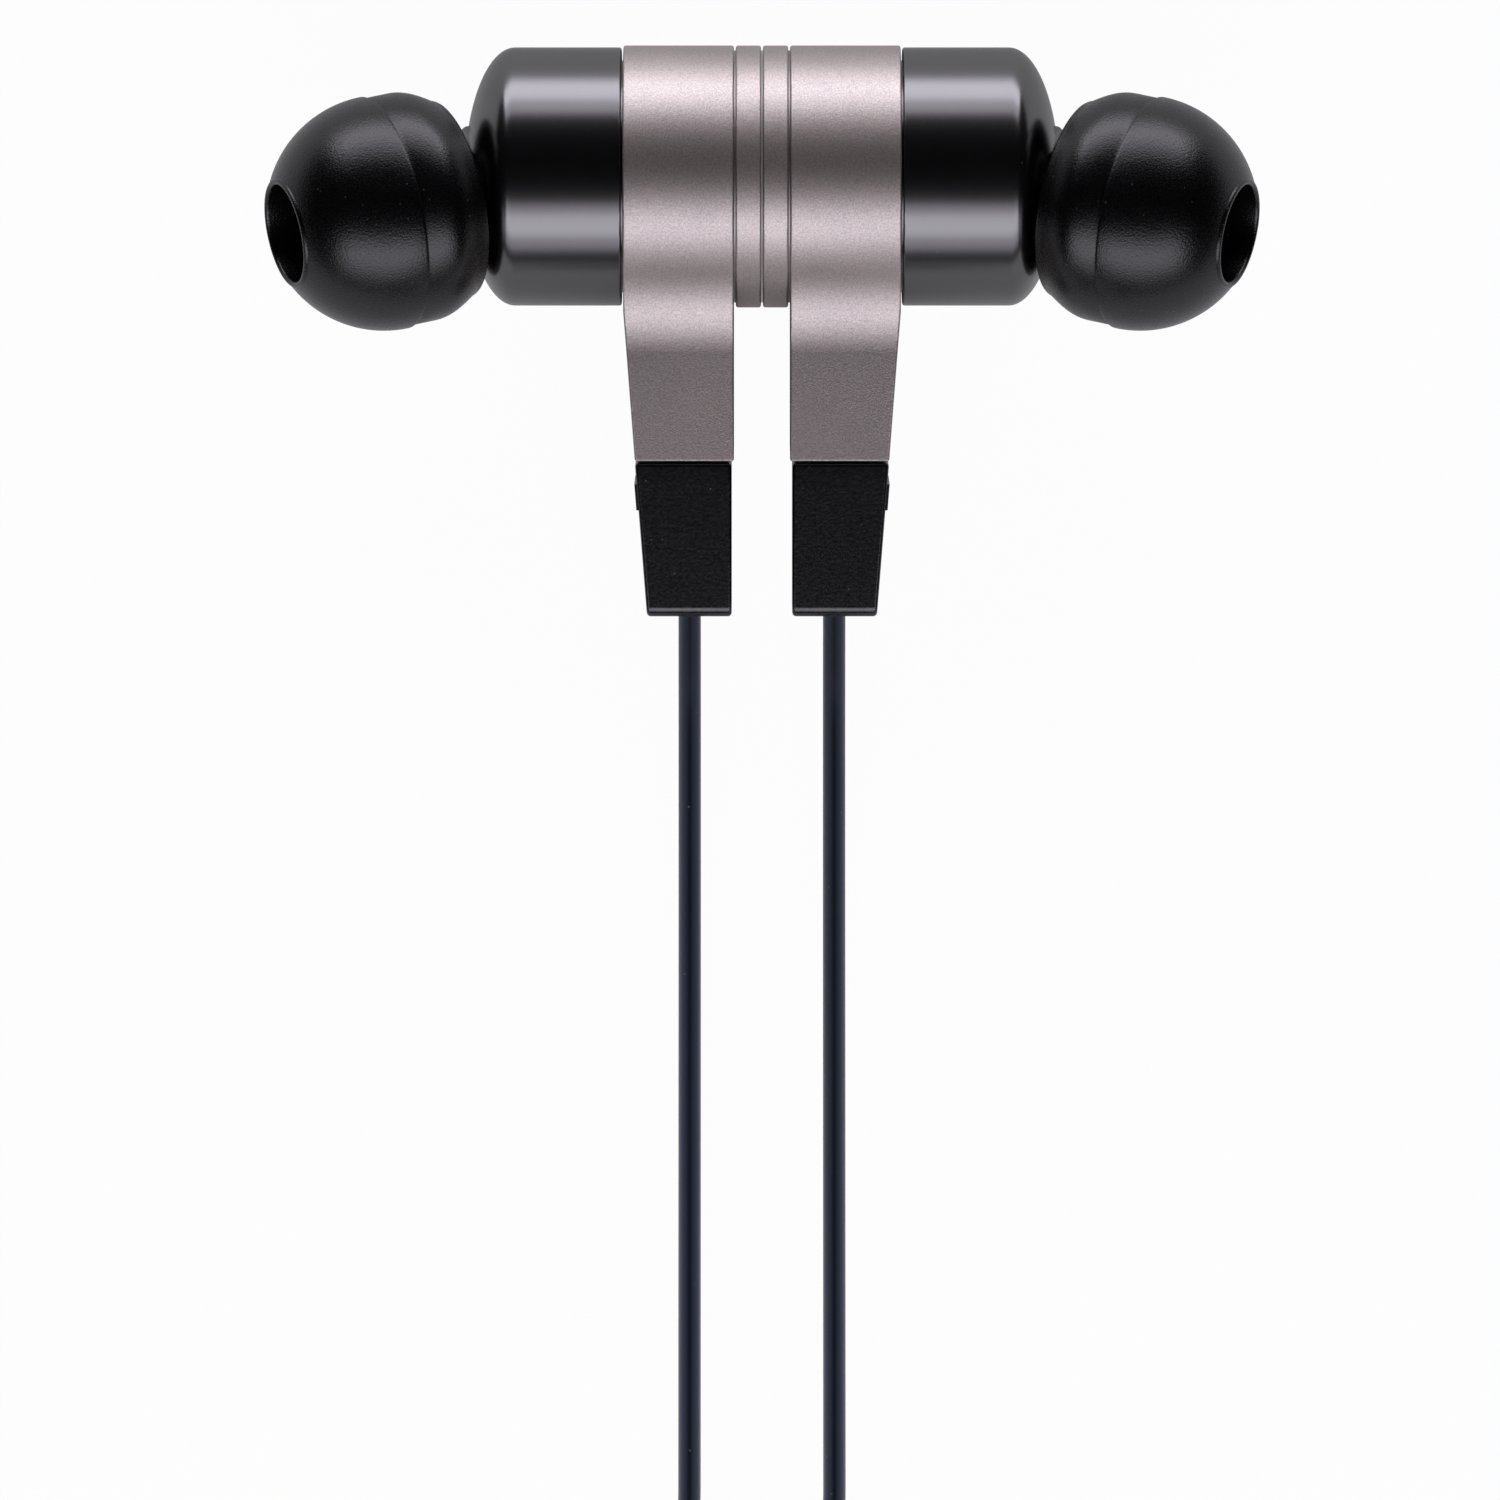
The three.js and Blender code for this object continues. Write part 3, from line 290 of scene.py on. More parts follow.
left_reach = from_clasp([(-3.3, -75.4, 0.66), (-1.9, -78, 0.75), (0.24, -80.1, 0.9), (2.32, -81.6, 1.1)])
right_reach = from_clasp([(4.3, -75, 0.7), (5.3, -77.4, 1), (7, -80.9, 1.7), (8.79, -84.4, 2.3)])
trunk_climb = from_coil(
    [(-4.0, -4, 1.5), (-4.7, -4, 1.8), (-5.5, -3.95, 2.6), (-6.3, -3.65, 3.3), (-7.2, -2.95, 3.5)]
)
trunk_tail = from_clasp(
    [(-0.28, -110.56, 5.3), (-3.3, -113.6, 4.1), (-6.34, -116.6, 2.6), (-9.1, -118.4, 1.3), (-12, -119, 0.7)]
    + [(-15.1, -118.3, 0.7), (-17.8, -116.4, 1), (-19.5, -113.8, 1.7), (-20, -111.8, 2.4), (-20, -109.6, 2.6)]
)
left_route = smooth_route(lead_start(-1) + lead_middle(-1) + left_reach + left_coil + into_split(0.9))
right_upper_route = smooth_route(lead_start(1))
right_lower_route = smooth_route(
    lead_start(1)[-1:] + lead_middle(1) + right_reach + right_coil + into_split(2.1)
)
trunk_route = smooth_route(trunk_climb + trunk_coil + trunk_tail)
for name, route in (("left", left_route), ("right", right_upper_route), ("trunk", trunk_route)):
    print(name, "route", round(route_length(route)), "mm")

# %% [markdown]
# A curve with a round bevel is the quickest cord, but all four tubes here are meshes made from curves.
# The right lead crosses two joints.
# The right lead is cut in two at a point where nothing moves against anything.

# %% Turn a route into a tube
TUBE_ROUNDNESS = 3


def tube(name, route):
    """A mesh tube along a route in millimetres, closed at both ends."""
    curve = bpy.data.curves.new(name, "CURVE")
    curve.dimensions = "3D"
    curve.bevel_depth = CORD_RADIUS * MM
    curve.bevel_resolution = TUBE_ROUNDNESS
    curve.use_fill_caps = True
    spline = curve.splines.new("POLY")
    spline.points.add(len(route) - 1)
    for knot, point in zip(spline.points, route):
        knot.co = (*(point * MM), 1)
    guide = bpy.data.objects.new(name, curve)
    bpy.context.collection.objects.link(guide)
    mesh = bpy.data.meshes.new_from_object(guide.evaluated_get(bpy.context.evaluated_depsgraph_get()))
    bpy.data.objects.remove(guide)
    mesh.materials.clear()
    piece = bpy.data.objects.new(name, mesh)
    bpy.context.collection.objects.link(piece)
    mesh.shade_smooth()
    print(name, round(route_length(route)), "mm,", len(mesh.polygons), "faces")
    return piece


left_lead = tube("left_lead", left_route)
right_lead_upper = tube("right_lead_upper", right_upper_route)
right_lead_lower = tube("right_lead_lower", right_lower_route)
trunk = tube("trunk_lead", trunk_route)
cords = [left_lead, right_lead_upper, right_lead_lower, trunk]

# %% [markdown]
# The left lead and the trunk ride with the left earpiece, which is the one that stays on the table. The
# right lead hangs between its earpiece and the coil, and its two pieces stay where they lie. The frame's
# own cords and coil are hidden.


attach(left_lead, "left_earpiece")
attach(trunk, "left_earpiece")
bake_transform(right_lead_upper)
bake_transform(right_lead_lower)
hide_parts("left_cord", "cord_coil")
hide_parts("right_cord")
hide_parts("trunk_cord")

# %% [markdown]
# ## Floor and lights
#
# The floor is one pale sheet. To the camera, and in mirror-like reflections, it glows to near white and
# still keeps a soft shadow, while it lights the object as plain pale card would. Brighter lamps would
# also whiten it, but they would wash out the black shells.

# %% Lay the floor
FLOOR_HALF_WIDTH = 2.0
FLOOR_DROP = 0.00005
FLOOR_COLOUR = (0.8, 0.8, 0.8, 1)
FLOOR_ROUGHNESS = 0.9
GLOW_SHARES = {"Is Camera Ray": 0.97, "Is Glossy Ray": 0.2, "Is Transmission Ray": 0.2}

floor_mesh = bpy.data.meshes.new("floor")
floor_shape = bmesh.new()
bmesh.ops.create_grid(floor_shape, x_segments=1, y_segments=1, size=FLOOR_HALF_WIDTH)
bmesh.ops.translate(floor_shape, vec=(0, 0, -FLOOR_DROP), verts=floor_shape.verts)
floor_shape.to_mesh(floor_mesh)
floor_shape.free()
floor = bpy.data.objects.new("floor", floor_mesh)
bpy.context.collection.objects.link(floor)
floor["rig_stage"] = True

# %% [markdown]
# A node's socket either holds a value or takes another node's output. One small helper does whichever is
# needed, and a second makes a math node with it. All the finishes below are built with the two.

# %% Feed a socket
def feed(tree, socket, value):
    """Gives a socket a plain value or another node's output."""
    if isinstance(value, bpy.types.NodeSocket):
        tree.links.new(value, socket)
    else:
        socket.default_value = value


def maths(tree, operation, *values):
    """A math node whose inputs are numbers or sockets. Returns its output."""
    node = tree.nodes.new("ShaderNodeMath")
    node.operation = operation
    for socket, value in zip(node.inputs, values):
        feed(tree, socket, value)
    return node.outputs[0]


# %% Finish the floor
floor_finish = bpy.data.materials.new("floor_card")
floor_finish.use_nodes = True
tree = floor_finish.node_tree
card = tree.nodes["Principled BSDF"]
card.inputs["Base Color"].default_value = FLOOR_COLOUR
card.inputs["Roughness"].default_value = FLOOR_ROUGHNESS
rays = tree.nodes.new("ShaderNodeLightPath")
share_of_glow = 0
for ray, share in GLOW_SHARES.items():
    share_of_glow = maths(tree, "MULTIPLY_ADD", rays.outputs[ray], share, share_of_glow)
glow = tree.nodes.new("ShaderNodeEmission")
glow_mix = tree.nodes.new("ShaderNodeMixShader")
for socket, source in zip(glow_mix.inputs, (share_of_glow, card.outputs[0], glow.outputs[0])):
    feed(tree, socket, source)
feed(tree, tree.nodes["Material Output"].inputs["Surface"], glow_mix.outputs[0])
floor_mesh.materials.append(floor_finish)
print("floor", 2 * FLOOR_HALF_WIDTH, "m wide, with a glow for", ", ".join(GLOW_SHARES))

# %% [markdown]
# Turned metal and glossy black show whatever stands round them, so the lamps are drawn as much as aimed.
# Two long soft strips lie along the clasp axis, one beyond the earpieces and one on the side of the cords.
# Each draws one broad bright band down a housing, and the dark gap overhead leaves the middle dark. Each
# strip is a wide dim lamp with a narrow one at its core, so its band fades out like a soft box's.
# Angles are measured from the camera's line of sight, towards the top of the view. A lamp's energy is its
# brightness times pi times its area, so a wider lamp lights more but doesn't look brighter itself.

# %% Hang the strip lamps
LAMP_DISTANCE = 0.5
LAMP_LENGTH = 0.8
WORLD_LEVEL = 0.004
LAMP_COLOUR = (0.93, 0.90, 1.0)


def strip_lamp(name, from_angle, to_angle, brightness):
    """A long soft lamp that fills a band of angles above or below the line of sight."""
    angle = math.radians((from_angle + to_angle) / 2)
    width = 2 * LAMP_DISTANCE * math.tan(math.radians(abs(to_angle - from_angle) / 2))
    data = bpy.data.lights.new(name, "AREA")
    data.shape = "RECTANGLE"
    data.color = LAMP_COLOUR
    data.size = LAMP_LENGTH
    data.size_y = width
    data.energy = brightness * math.pi * LAMP_LENGTH * width
    lamp = bpy.data.objects.new(name, data)
    turn = view_turn @ Matrix.Rotation(-angle, 4, "X")
    lamp.matrix_world = Matrix.Translation(clasp) @ turn @ Matrix.Translation((0, 0, LAMP_DISTANCE))
    bpy.context.collection.objects.link(lamp)
    print(name, "height", round(lamp.matrix_world.translation.z, 3), "m,", round(data.energy, 2), "W")


strip_lamp("far_strip", 55, 98, 1.9)
strip_lamp("far_core", 70, 91, 2.1)
strip_lamp("near_strip", -27, -72, 1.3)
strip_lamp("near_core", -36, -58, 1.6)
world = bpy.data.worlds.new("studio")
world.use_nodes = True
background = world.node_tree.nodes["Background"]
background.inputs["Color"].default_value = (1, 1, 1, 1)
background.inputs["Strength"].default_value = WORLD_LEVEL
bpy.context.scene.world = world

# %% [markdown]
# ## Shared effects
#
# Several finishes need the same few effects: fine grain, soft unevenness, worn edges, dust and a weave.
# Each is a node group with named inputs, built once, and a material sets its own sizes and strengths.
# Painting each material by hand would also work, but then a change of grain would be made many times.
# All of them read Object coordinates, in metres, so a pattern keeps its real scale on every piece.

# %% Start a node group
def new_group(name, inputs, outputs):
    """An empty shader node group. inputs and outputs hold (name, kind, value) and (name, kind)."""
    group = bpy.data.node_groups.new(name, "ShaderNodeTree")
    for label, kind, value in inputs:
        socket = group.interface.new_socket(label, in_out="INPUT", socket_type=kind)
        socket.default_value = value
    for label, kind in outputs:
        group.interface.new_socket(label, in_out="OUTPUT", socket_type=kind)
    start = group.nodes.new("NodeGroupInput")
    end = group.nodes.new("NodeGroupOutput")
    return group, start, end


def object_place(tree):
    """The place on the piece, in metres."""
    return tree.nodes.new("ShaderNodeTexCoord").outputs["Object"]


def noise(tree, size, detail=2.0):
    """Cloudy noise whose lumps have about this size in millimetres. More detail makes them crisper."""
    node = tree.nodes.new("ShaderNodeTexNoise")
    node.inputs["Detail"].default_value = detail
    feed(tree, node.inputs["Vector"], object_place(tree))
    feed(tree, node.inputs["Scale"], maths(tree, "DIVIDE", 1 / MM, size))
    return node.outputs["Fac"]


def relief_normal(tree, height, depth):
    """The normal of a surface with a relief of this depth in millimetres."""
    node = tree.nodes.new("ShaderNodeBump")
    feed(tree, node.inputs["Distance"], maths(tree, "MULTIPLY", depth, MM))
    feed(tree, node.inputs["Height"], height)
    return node.outputs["Normal"]


def mix_colours(tree, share, first, second):
    """A node that goes from a first to a second colour by a share. Returns its output."""
    node = tree.nodes.new("ShaderNodeMix")
    node.data_type = "RGBA"
    feed(tree, node.inputs["Factor"], share)
    feed(tree, node.inputs["A"], first)
    feed(tree, node.inputs["B"], second)
    return node.outputs["Result"]


FLOAT = "NodeSocketFloat"
COLOUR = "NodeSocketColor"
NORMAL = "NodeSocketVector"
FINE_DETAIL = 3.0
PLAIN_DETAIL = 1.0

# %% [markdown]
# Grain is a fine relief. It goes out as a normal for the shader and as a value that varies roughness.

# %% Fine grain
grain_group, start, end = new_group(
    "fine_grain",
    [("Size", FLOAT, 0.1), ("Depth", FLOAT, 0.002), ("Roughness", FLOAT, 0.5), ("Spread", FLOAT, 0.05)],
    [("Normal", NORMAL), ("Roughness", FLOAT)],
)
fine = noise(grain_group, start.outputs["Size"], FINE_DETAIL)
feed(grain_group, end.inputs["Normal"], relief_normal(grain_group, fine, start.outputs["Depth"]))
either_way = maths(grain_group, "SUBTRACT", fine, 0.5)
variation = maths(grain_group, "MULTIPLY", either_way, start.outputs["Spread"])
feed(grain_group, end.inputs["Roughness"], maths(grain_group, "ADD", start.outputs["Roughness"], variation))

# %% [markdown]
# No real surface has one even colour. This group mixes two close tones in soft patches, with a finer
# fleck on top.

# %% Uneven tone
tone_group, start, end = new_group(
    "uneven_tone",
    [("Colour", COLOUR, (0.5, 0.5, 0.5, 1)), ("Other", COLOUR, (0.4, 0.4, 0.4, 1)), ("Patch", FLOAT, 4.0)]
    + [("Fleck", FLOAT, 0.1), ("Fleck Share", FLOAT, 0.3)],
    [("Colour", COLOUR)],
)
patches = noise(tone_group, start.outputs["Patch"])
flecks = noise(tone_group, start.outputs["Fleck"], PLAIN_DETAIL)
fleck_part = maths(tone_group, "MULTIPLY", flecks, start.outputs["Fleck Share"])
rest = maths(tone_group, "SUBTRACT", 1.0, start.outputs["Fleck Share"])
both = maths(tone_group, "ADD", maths(tone_group, "MULTIPLY", patches, rest), fleck_part)
two_tones = mix_colours(tone_group, both, start.outputs["Colour"], start.outputs["Other"])
feed(tone_group, end.inputs["Colour"], two_tones)

# %% [markdown]
# Edges that are handled wear first. The Bevel node gives the normal that a rounder edge would have, and
# where it differs from the true one, there is an edge. Noise breaks the line up. Most finishes draw the
# masked edges paler, as wear. The aluminium draws them darker, as painted shade in its seams.

# %% Worn edges and painted seam shade
edge_wear_and_shade_group, start, end = new_group(
    "edge_wear_and_shade",
    [("Width", FLOAT, 0.12), ("Amount", FLOAT, 0.5)],
    [("Mask", FLOAT)],
)
EDGE_SAMPLES = 4
EDGE_GAIN = 8.0
EDGE_BREAKS = 0.8
rounded = edge_wear_and_shade_group.nodes.new("ShaderNodeBevel")
rounded.samples = EDGE_SAMPLES
feed(edge_wear_and_shade_group, rounded.inputs["Radius"], maths(edge_wear_and_shade_group, "MULTIPLY", start.outputs["Width"], MM))
true_normal = edge_wear_and_shade_group.nodes.new("ShaderNodeNewGeometry")
same_way = edge_wear_and_shade_group.nodes.new("ShaderNodeVectorMath")
same_way.operation = "DOT_PRODUCT"
feed(edge_wear_and_shade_group, same_way.inputs[0], rounded.outputs["Normal"])
feed(edge_wear_and_shade_group, same_way.inputs[1], true_normal.outputs["Normal"])
difference = maths(edge_wear_and_shade_group, "SUBTRACT", 1.0, same_way.outputs["Value"])
edge = maths(edge_wear_and_shade_group, "MULTIPLY", difference, EDGE_GAIN)
broken = maths(edge_wear_and_shade_group, "MULTIPLY", edge, noise(edge_wear_and_shade_group, EDGE_BREAKS, FINE_DETAIL))
edge_amount = maths(edge_wear_and_shade_group, "MULTIPLY", broken, start.outputs["Amount"])
feed(edge_wear_and_shade_group, end.inputs["Mask"], maths(edge_wear_and_shade_group, "MINIMUM", edge_amount, 1.0))

# %% [markdown]
# Rubber holds on to dust: sparse pale specks, each far smaller than a millimetre.

# %% Dust
dust_group, start, end = new_group(
    "dust",
    [("Colour", COLOUR, (0.02, 0.02, 0.02, 1)), ("Dust", COLOUR, (0.2, 0.2, 0.2, 1))]
    + [("Spacing", FLOAT, 0.6), ("Size", FLOAT, 0.12)],
    [("Colour", COLOUR)],
)
DUST_CLOUDS = 1.5
cells = dust_group.nodes.new("ShaderNodeTexVoronoi")
feed(dust_group, cells.inputs["Vector"], object_place(dust_group))
feed(dust_group, cells.inputs["Scale"], maths(dust_group, "DIVIDE", 1 / MM, start.outputs["Spacing"]))
speck = maths(dust_group, "LESS_THAN", cells.outputs["Distance"], start.outputs["Size"])
faint = maths(dust_group, "MULTIPLY", speck, noise(dust_group, DUST_CLOUDS, PLAIN_DETAIL))
dusty = mix_colours(dust_group, faint, start.outputs["Colour"], start.outputs["Dust"])
feed(dust_group, end.inputs["Colour"], dusty)

# %% [markdown]
# A weave is two sets of ridges that cross. Multiplying two sine waves gives the raised threads and the
# small dark holes between them.

# %% Weave
weave_group, start, end = new_group(
    "weave",
    [("Pitch", FLOAT, 0.3), ("Depth", FLOAT, 0.03)],
    [("Normal", NORMAL), ("Thread", FLOAT)],
)
parts = weave_group.nodes.new("ShaderNodeSeparateXYZ")
feed(weave_group, parts.inputs["Vector"], object_place(weave_group))
turns = maths(weave_group, "DIVIDE", math.tau / MM, start.outputs["Pitch"])
along_x = maths(weave_group, "SINE", maths(weave_group, "MULTIPLY", parts.outputs["X"], turns))
depth_line = maths(weave_group, "ADD", parts.outputs["Y"], parts.outputs["Z"])
along_y = maths(weave_group, "SINE", maths(weave_group, "MULTIPLY", depth_line, turns))
crossing = maths(weave_group, "MULTIPLY", along_x, along_y)
thread = maths(weave_group, "ADD", maths(weave_group, "MULTIPLY", crossing, 0.5), 0.5)
feed(weave_group, end.inputs["Normal"], relief_normal(weave_group, thread, start.outputs["Depth"]))
feed(weave_group, end.inputs["Thread"], thread)
print("shared effects:", ", ".join(sorted(group.name for group in bpy.data.node_groups)))

# %% [markdown]
# ## Finishes
#
# A finish is one Principled shader with the shared groups placed before it. Values that are the same all
# over, such as the index of refraction, are set on the shader itself.

# %% Start a finish
def place_group(tree, group, **values):
    """A shared group in a finish, with its own values."""
    node = tree.nodes.new("ShaderNodeGroup")
    node.node_tree = group
    for label, value in values.items():
        node.inputs[label.replace("_", " ")].default_value = value
    return node


def colour(red, green, blue):
    return (red, green, blue, 1)


def new_finish(name, tone, other, grain_size, grain_depth, roughness, spread=0.06, metallic=0.0, patch=5.0):
    """A finish with two close tones and a fine grain. Returns it with its tree, shader and tone.

    spread is how far the grain swings the roughness. Sizes and depths are in millimetres.
    """
    finish = bpy.data.materials.new(name)
    finish.use_nodes = True
    tree = finish.node_tree
    shader = tree.nodes["Principled BSDF"]
    shader.inputs["Metallic"].default_value = metallic
    tones = place_group(tree, tone_group, Colour=colour(*tone), Other=colour(*other), Patch=patch)
    tones.inputs["Fleck"].default_value = grain_size
    grain = place_group(tree, grain_group, Size=grain_size, Depth=grain_depth, Roughness=roughness)
    grain.inputs["Spread"].default_value = spread
    feed(tree, shader.inputs["Base Color"], tones.outputs["Colour"])
    feed(tree, shader.inputs["Normal"], grain.outputs["Normal"])
    feed(tree, shader.inputs["Roughness"], grain.outputs["Roughness"])
    return finish, tree, shader, tones.outputs["Colour"]


def add_edge_wear_and_shade(tree, shader, tone, edge_colour, width, amount):
    """Lays an edge colour over a finish's tone, and returns what comes of it. A pale colour is wear, and the
    aluminium's dark one is painted shade.
    """
    edge_mask_node = place_group(tree, edge_wear_and_shade_group, Width=width, Amount=amount)
    edged = mix_colours(tree, edge_mask_node.outputs["Mask"], tone, colour(*edge_colour))
    feed(tree, shader.inputs["Base Color"], edged)
    return edged


def add_dust(tree, shader, tone, dust, spacing, size):
    """Lays dust over a finish's tone, and returns what comes of it."""
    specks = place_group(tree, dust_group, Dust=colour(*dust), Spacing=spacing, Size=size)
    feed(tree, specks.inputs["Colour"], tone)
    feed(tree, shader.inputs["Base Color"], specks.outputs["Colour"])
    return specks.outputs["Colour"]


# %% [markdown]
# The caps and housings are aluminium, blasted with fine beads and dyed a warm grey. Blasting scatters
# light, so the metal is fairly rough and shows soft bands instead of sharp reflections. The clear seal on
# top adds a neutral gloss to the warm metal. The edge mask is used the other way round here: its edges
# and seams are drawn darker, a painted shade for the shade that falls in the seams between the discs.

# %% Blasted aluminium
aluminium, tree, shader, tone = new_finish(
    "blasted_aluminium",
    (0.645, 0.535, 0.48),
    (0.009, 0.006, 0.004),
    grain_size=0.085,
    grain_depth=0.016,
    roughness=0.48,
    spread=0.16,
    metallic=1.0,
    patch=7.0,
)
tone.node.inputs["Fleck Share"].default_value = 0.8
shader.inputs["Coat Weight"].default_value = 1.0
shader.inputs["Coat IOR"].default_value = 2.6
shader.inputs["Coat Roughness"].default_value = 0.43
# Painted shade: every edge and seam of the aluminium is drawn dark brown.
add_edge_wear_and_shade(tree, shader, tone, edge_colour=(0.06, 0.045, 0.040), width=0.10, amount=1.0)

# %% [markdown]
# The front shells are black lacquered plastic. Lacquer over black reflects more than bare plastic, so
# its index of refraction is raised. The base stays almost black, with a trace of violet.

# %% Black lacquer
black_shell, tree, shader, tone = new_finish(
    "black_lacquer",
    (0.0004, 0.0004, 0.0006),
    (0.0009, 0.0008, 0.0012),
    grain_size=0.12,
    grain_depth=0.0006,
    roughness=0.23,
    spread=0.03,
    patch=6.0,
)
shader.inputs["IOR"].default_value = 2.2
add_dust(tree, shader, tone, dust=(0.12, 0.12, 0.13), spacing=1.4, size=0.03)

# %% [markdown]
# Silicone is matte and slightly tacky: a broad weak sheen and a fine speckle all over.

# %% Silicone
silicone, tree, shader, tone = new_finish(
    "silicone",
    (0.0006, 0.0006, 0.0007),
    (0.0022, 0.0022, 0.0025),
    grain_size=0.11,
    grain_depth=0.016,
    roughness=0.27,
    spread=0.20,
    patch=3.0,
)
shader.inputs["IOR"].default_value = 1.5
add_dust(tree, shader, tone, dust=(0.08, 0.08, 0.085), spacing=0.6, size=0.08)

# %% [markdown]
# The boots are of a harder rubber with a coarser, flatter grain. Dust lies on it and its edges are rubbed
# paler, so both masks are laid over its tone, one after the other.

# %% Boot rubber
boot_rubber, tree, shader, tone = new_finish(
    "boot_rubber",
    (0.0004, 0.0004, 0.0005),
    (0.0040, 0.0040, 0.0046),
    grain_size=0.17,
    grain_depth=0.006,
    roughness=0.22,
    spread=0.16,
    patch=1.5,
)
shader.inputs["IOR"].default_value = 1.62
dusty = add_dust(tree, shader, tone, dust=(0.15, 0.15, 0.16), spacing=0.9, size=0.05)
add_edge_wear_and_shade(tree, shader, dusty, edge_colour=(0.05, 0.05, 0.052), width=0.15, amount=0.5)

# %% [markdown]
# The cord's jacket is smooth thermoplastic rubber in dark slate. A soft sheen on both sides, where it
# turns away from the eye, is painted into its colour: a Layer Weight node brightens the tone towards the
# rims. The shader has a sheen of its own, but this painted sheen says more exactly how far it reaches. Its
# square root carries it in from the rims.

# %% Cord jacket
cord_jacket, tree, shader, tone = new_finish(
    "cord_jacket",
    (0.0015, 0.0035, 0.0075),
    (0.0035, 0.0065, 0.0115),
    grain_size=0.12,
    grain_depth=0.0015,
    roughness=0.30,
    spread=0.08,
    patch=4.0,
)
# Painted sheen: the tone is mixed towards a pale slate at the rims.
facing = tree.nodes.new("ShaderNodeLayerWeight")
facing.inputs["Blend"].default_value = 0.5
rise = maths(tree, "SQRT", facing.outputs["Facing"])
painted_sheen = mix_colours(tree, rise, tone, colour(0.15, 0.175, 0.22))
add_dust(tree, shader, painted_sheen, dust=(0.20, 0.22, 0.24), spacing=1.1, size=0.05)

# %% [markdown]
# The ties are woven strap and the nozzle's guard is woven steel wire. Both take the weave as relief, and
# the steel also takes the weave's thread as a mask, because one can look through between its wires. The
# holes between the wires are painted near black, a painted shade of the bore behind the mesh.

# %% Woven strap and woven mesh
strap_weave, tree, shader, tone = new_finish(
    "strap_weave",
    (0.020, 0.020, 0.022),
    (0.035, 0.035, 0.038),
    grain_size=0.15,
    grain_depth=0.01,
    roughness=0.75,
    spread=0.1,
)
weave = place_group(tree, weave_group, Pitch=0.45, Depth=0.05)
feed(tree, shader.inputs["Normal"], weave.outputs["Normal"])

steel_mesh, tree, shader, tone = new_finish(
    "steel_mesh",
    (0.30, 0.30, 0.31),
    (0.24, 0.24, 0.25),
    grain_size=0.08,
    grain_depth=0.004,
    roughness=0.38,
    spread=0.1,
    metallic=1.0,
)
weave = place_group(tree, weave_group, Pitch=0.24, Depth=0.04)
# Painted shade: the holes between the wires are near black.
holes = mix_colours(tree, weave.outputs["Thread"], colour(0.004, 0.004, 0.004), tone)
feed(tree, shader.inputs["Base Color"], holes)
feed(tree, shader.inputs["Normal"], weave.outputs["Normal"])

# %% [markdown]
# The pieces inside are plated, stamped, wound, moulded or pressed. Each finish is one line of a table:
# two tones, the size and depth of its grain, its roughness and how metallic it is. Worn edges are paler
# than the first tone by a share and a little more, so that black plastic wears too.

# %% Finishes of the pieces inside
INNER_FINISHES = {
    "steel": ((0.55, 0.55, 0.56), (0.47, 0.47, 0.48), 0.15, 0.004, 0.34, 1.0),
    "nickel_plating": ((0.66, 0.65, 0.62), (0.60, 0.59, 0.56), 0.30, 0.001, 0.18, 1.0),
    "copper": ((0.72, 0.40, 0.26), (0.58, 0.30, 0.18), 0.08, 0.010, 0.30, 1.0),
    "gold_plating": ((0.83, 0.62, 0.30), (0.76, 0.55, 0.25), 0.25, 0.001, 0.16, 1.0),
    "film": ((0.62, 0.60, 0.50), (0.56, 0.54, 0.45), 0.20, 0.003, 0.28, 0.0),
    "board": ((0.020, 0.160, 0.060), (0.015, 0.120, 0.045), 0.25, 0.006, 0.36, 0.0),
    "foam": ((0.030, 0.030, 0.030), (0.012, 0.012, 0.012), 0.12, 0.080, 0.95, 0.0),
    "moulded_plastic": ((0.020, 0.020, 0.020), (0.026, 0.026, 0.027), 0.14, 0.006, 0.48, 0.0),
}
finishes = {
    "aluminium": aluminium,
    "black_shell": black_shell,
    "silicone": silicone,
    "boot_rubber": boot_rubber,
    "cord_jacket": cord_jacket,
    "tie_strap": strap_weave,
    "steel_mesh": steel_mesh,
}
WORN_GAIN, WORN_LIFT = 1.3, 0.02
WORN_WIDTH, WORN_AMOUNT = 0.06, 0.4
for name, (first, second, size, depth, roughness, metallic) in INNER_FINISHES.items():
    finish, tree, shader, tone = new_finish(name, first, second, size, depth, roughness, metallic=metallic)
    edge_colour = [min(1.0, part * WORN_GAIN + WORN_LIFT) for part in first]
    add_edge_wear_and_shade(tree, shader, tone, edge_colour, WORN_WIDTH, WORN_AMOUNT)
    finishes[name] = finish
for cord in cords:
    cord.data.materials.append(cord_jacket)
print("finishes:", ", ".join(finishes))

# %% [markdown]
# ## Shaping tools
#
# Most pieces here were made on a lathe or in a round mould, so one helper turns an outline round the
# X axis. A second rounds the sharp edges, because a perfectly sharp edge never catches the light. A third
# joins or cuts with a Boolean, which is kept for holes that no outline can give.

# %% Turn an outline
ROUND_STEPS = 96
NARROW_STEPS = 48
NOZZLE_STEPS = 64  # and the plug's grip
TIP_STEPS = 128
SAME_PLACE = 1e-4


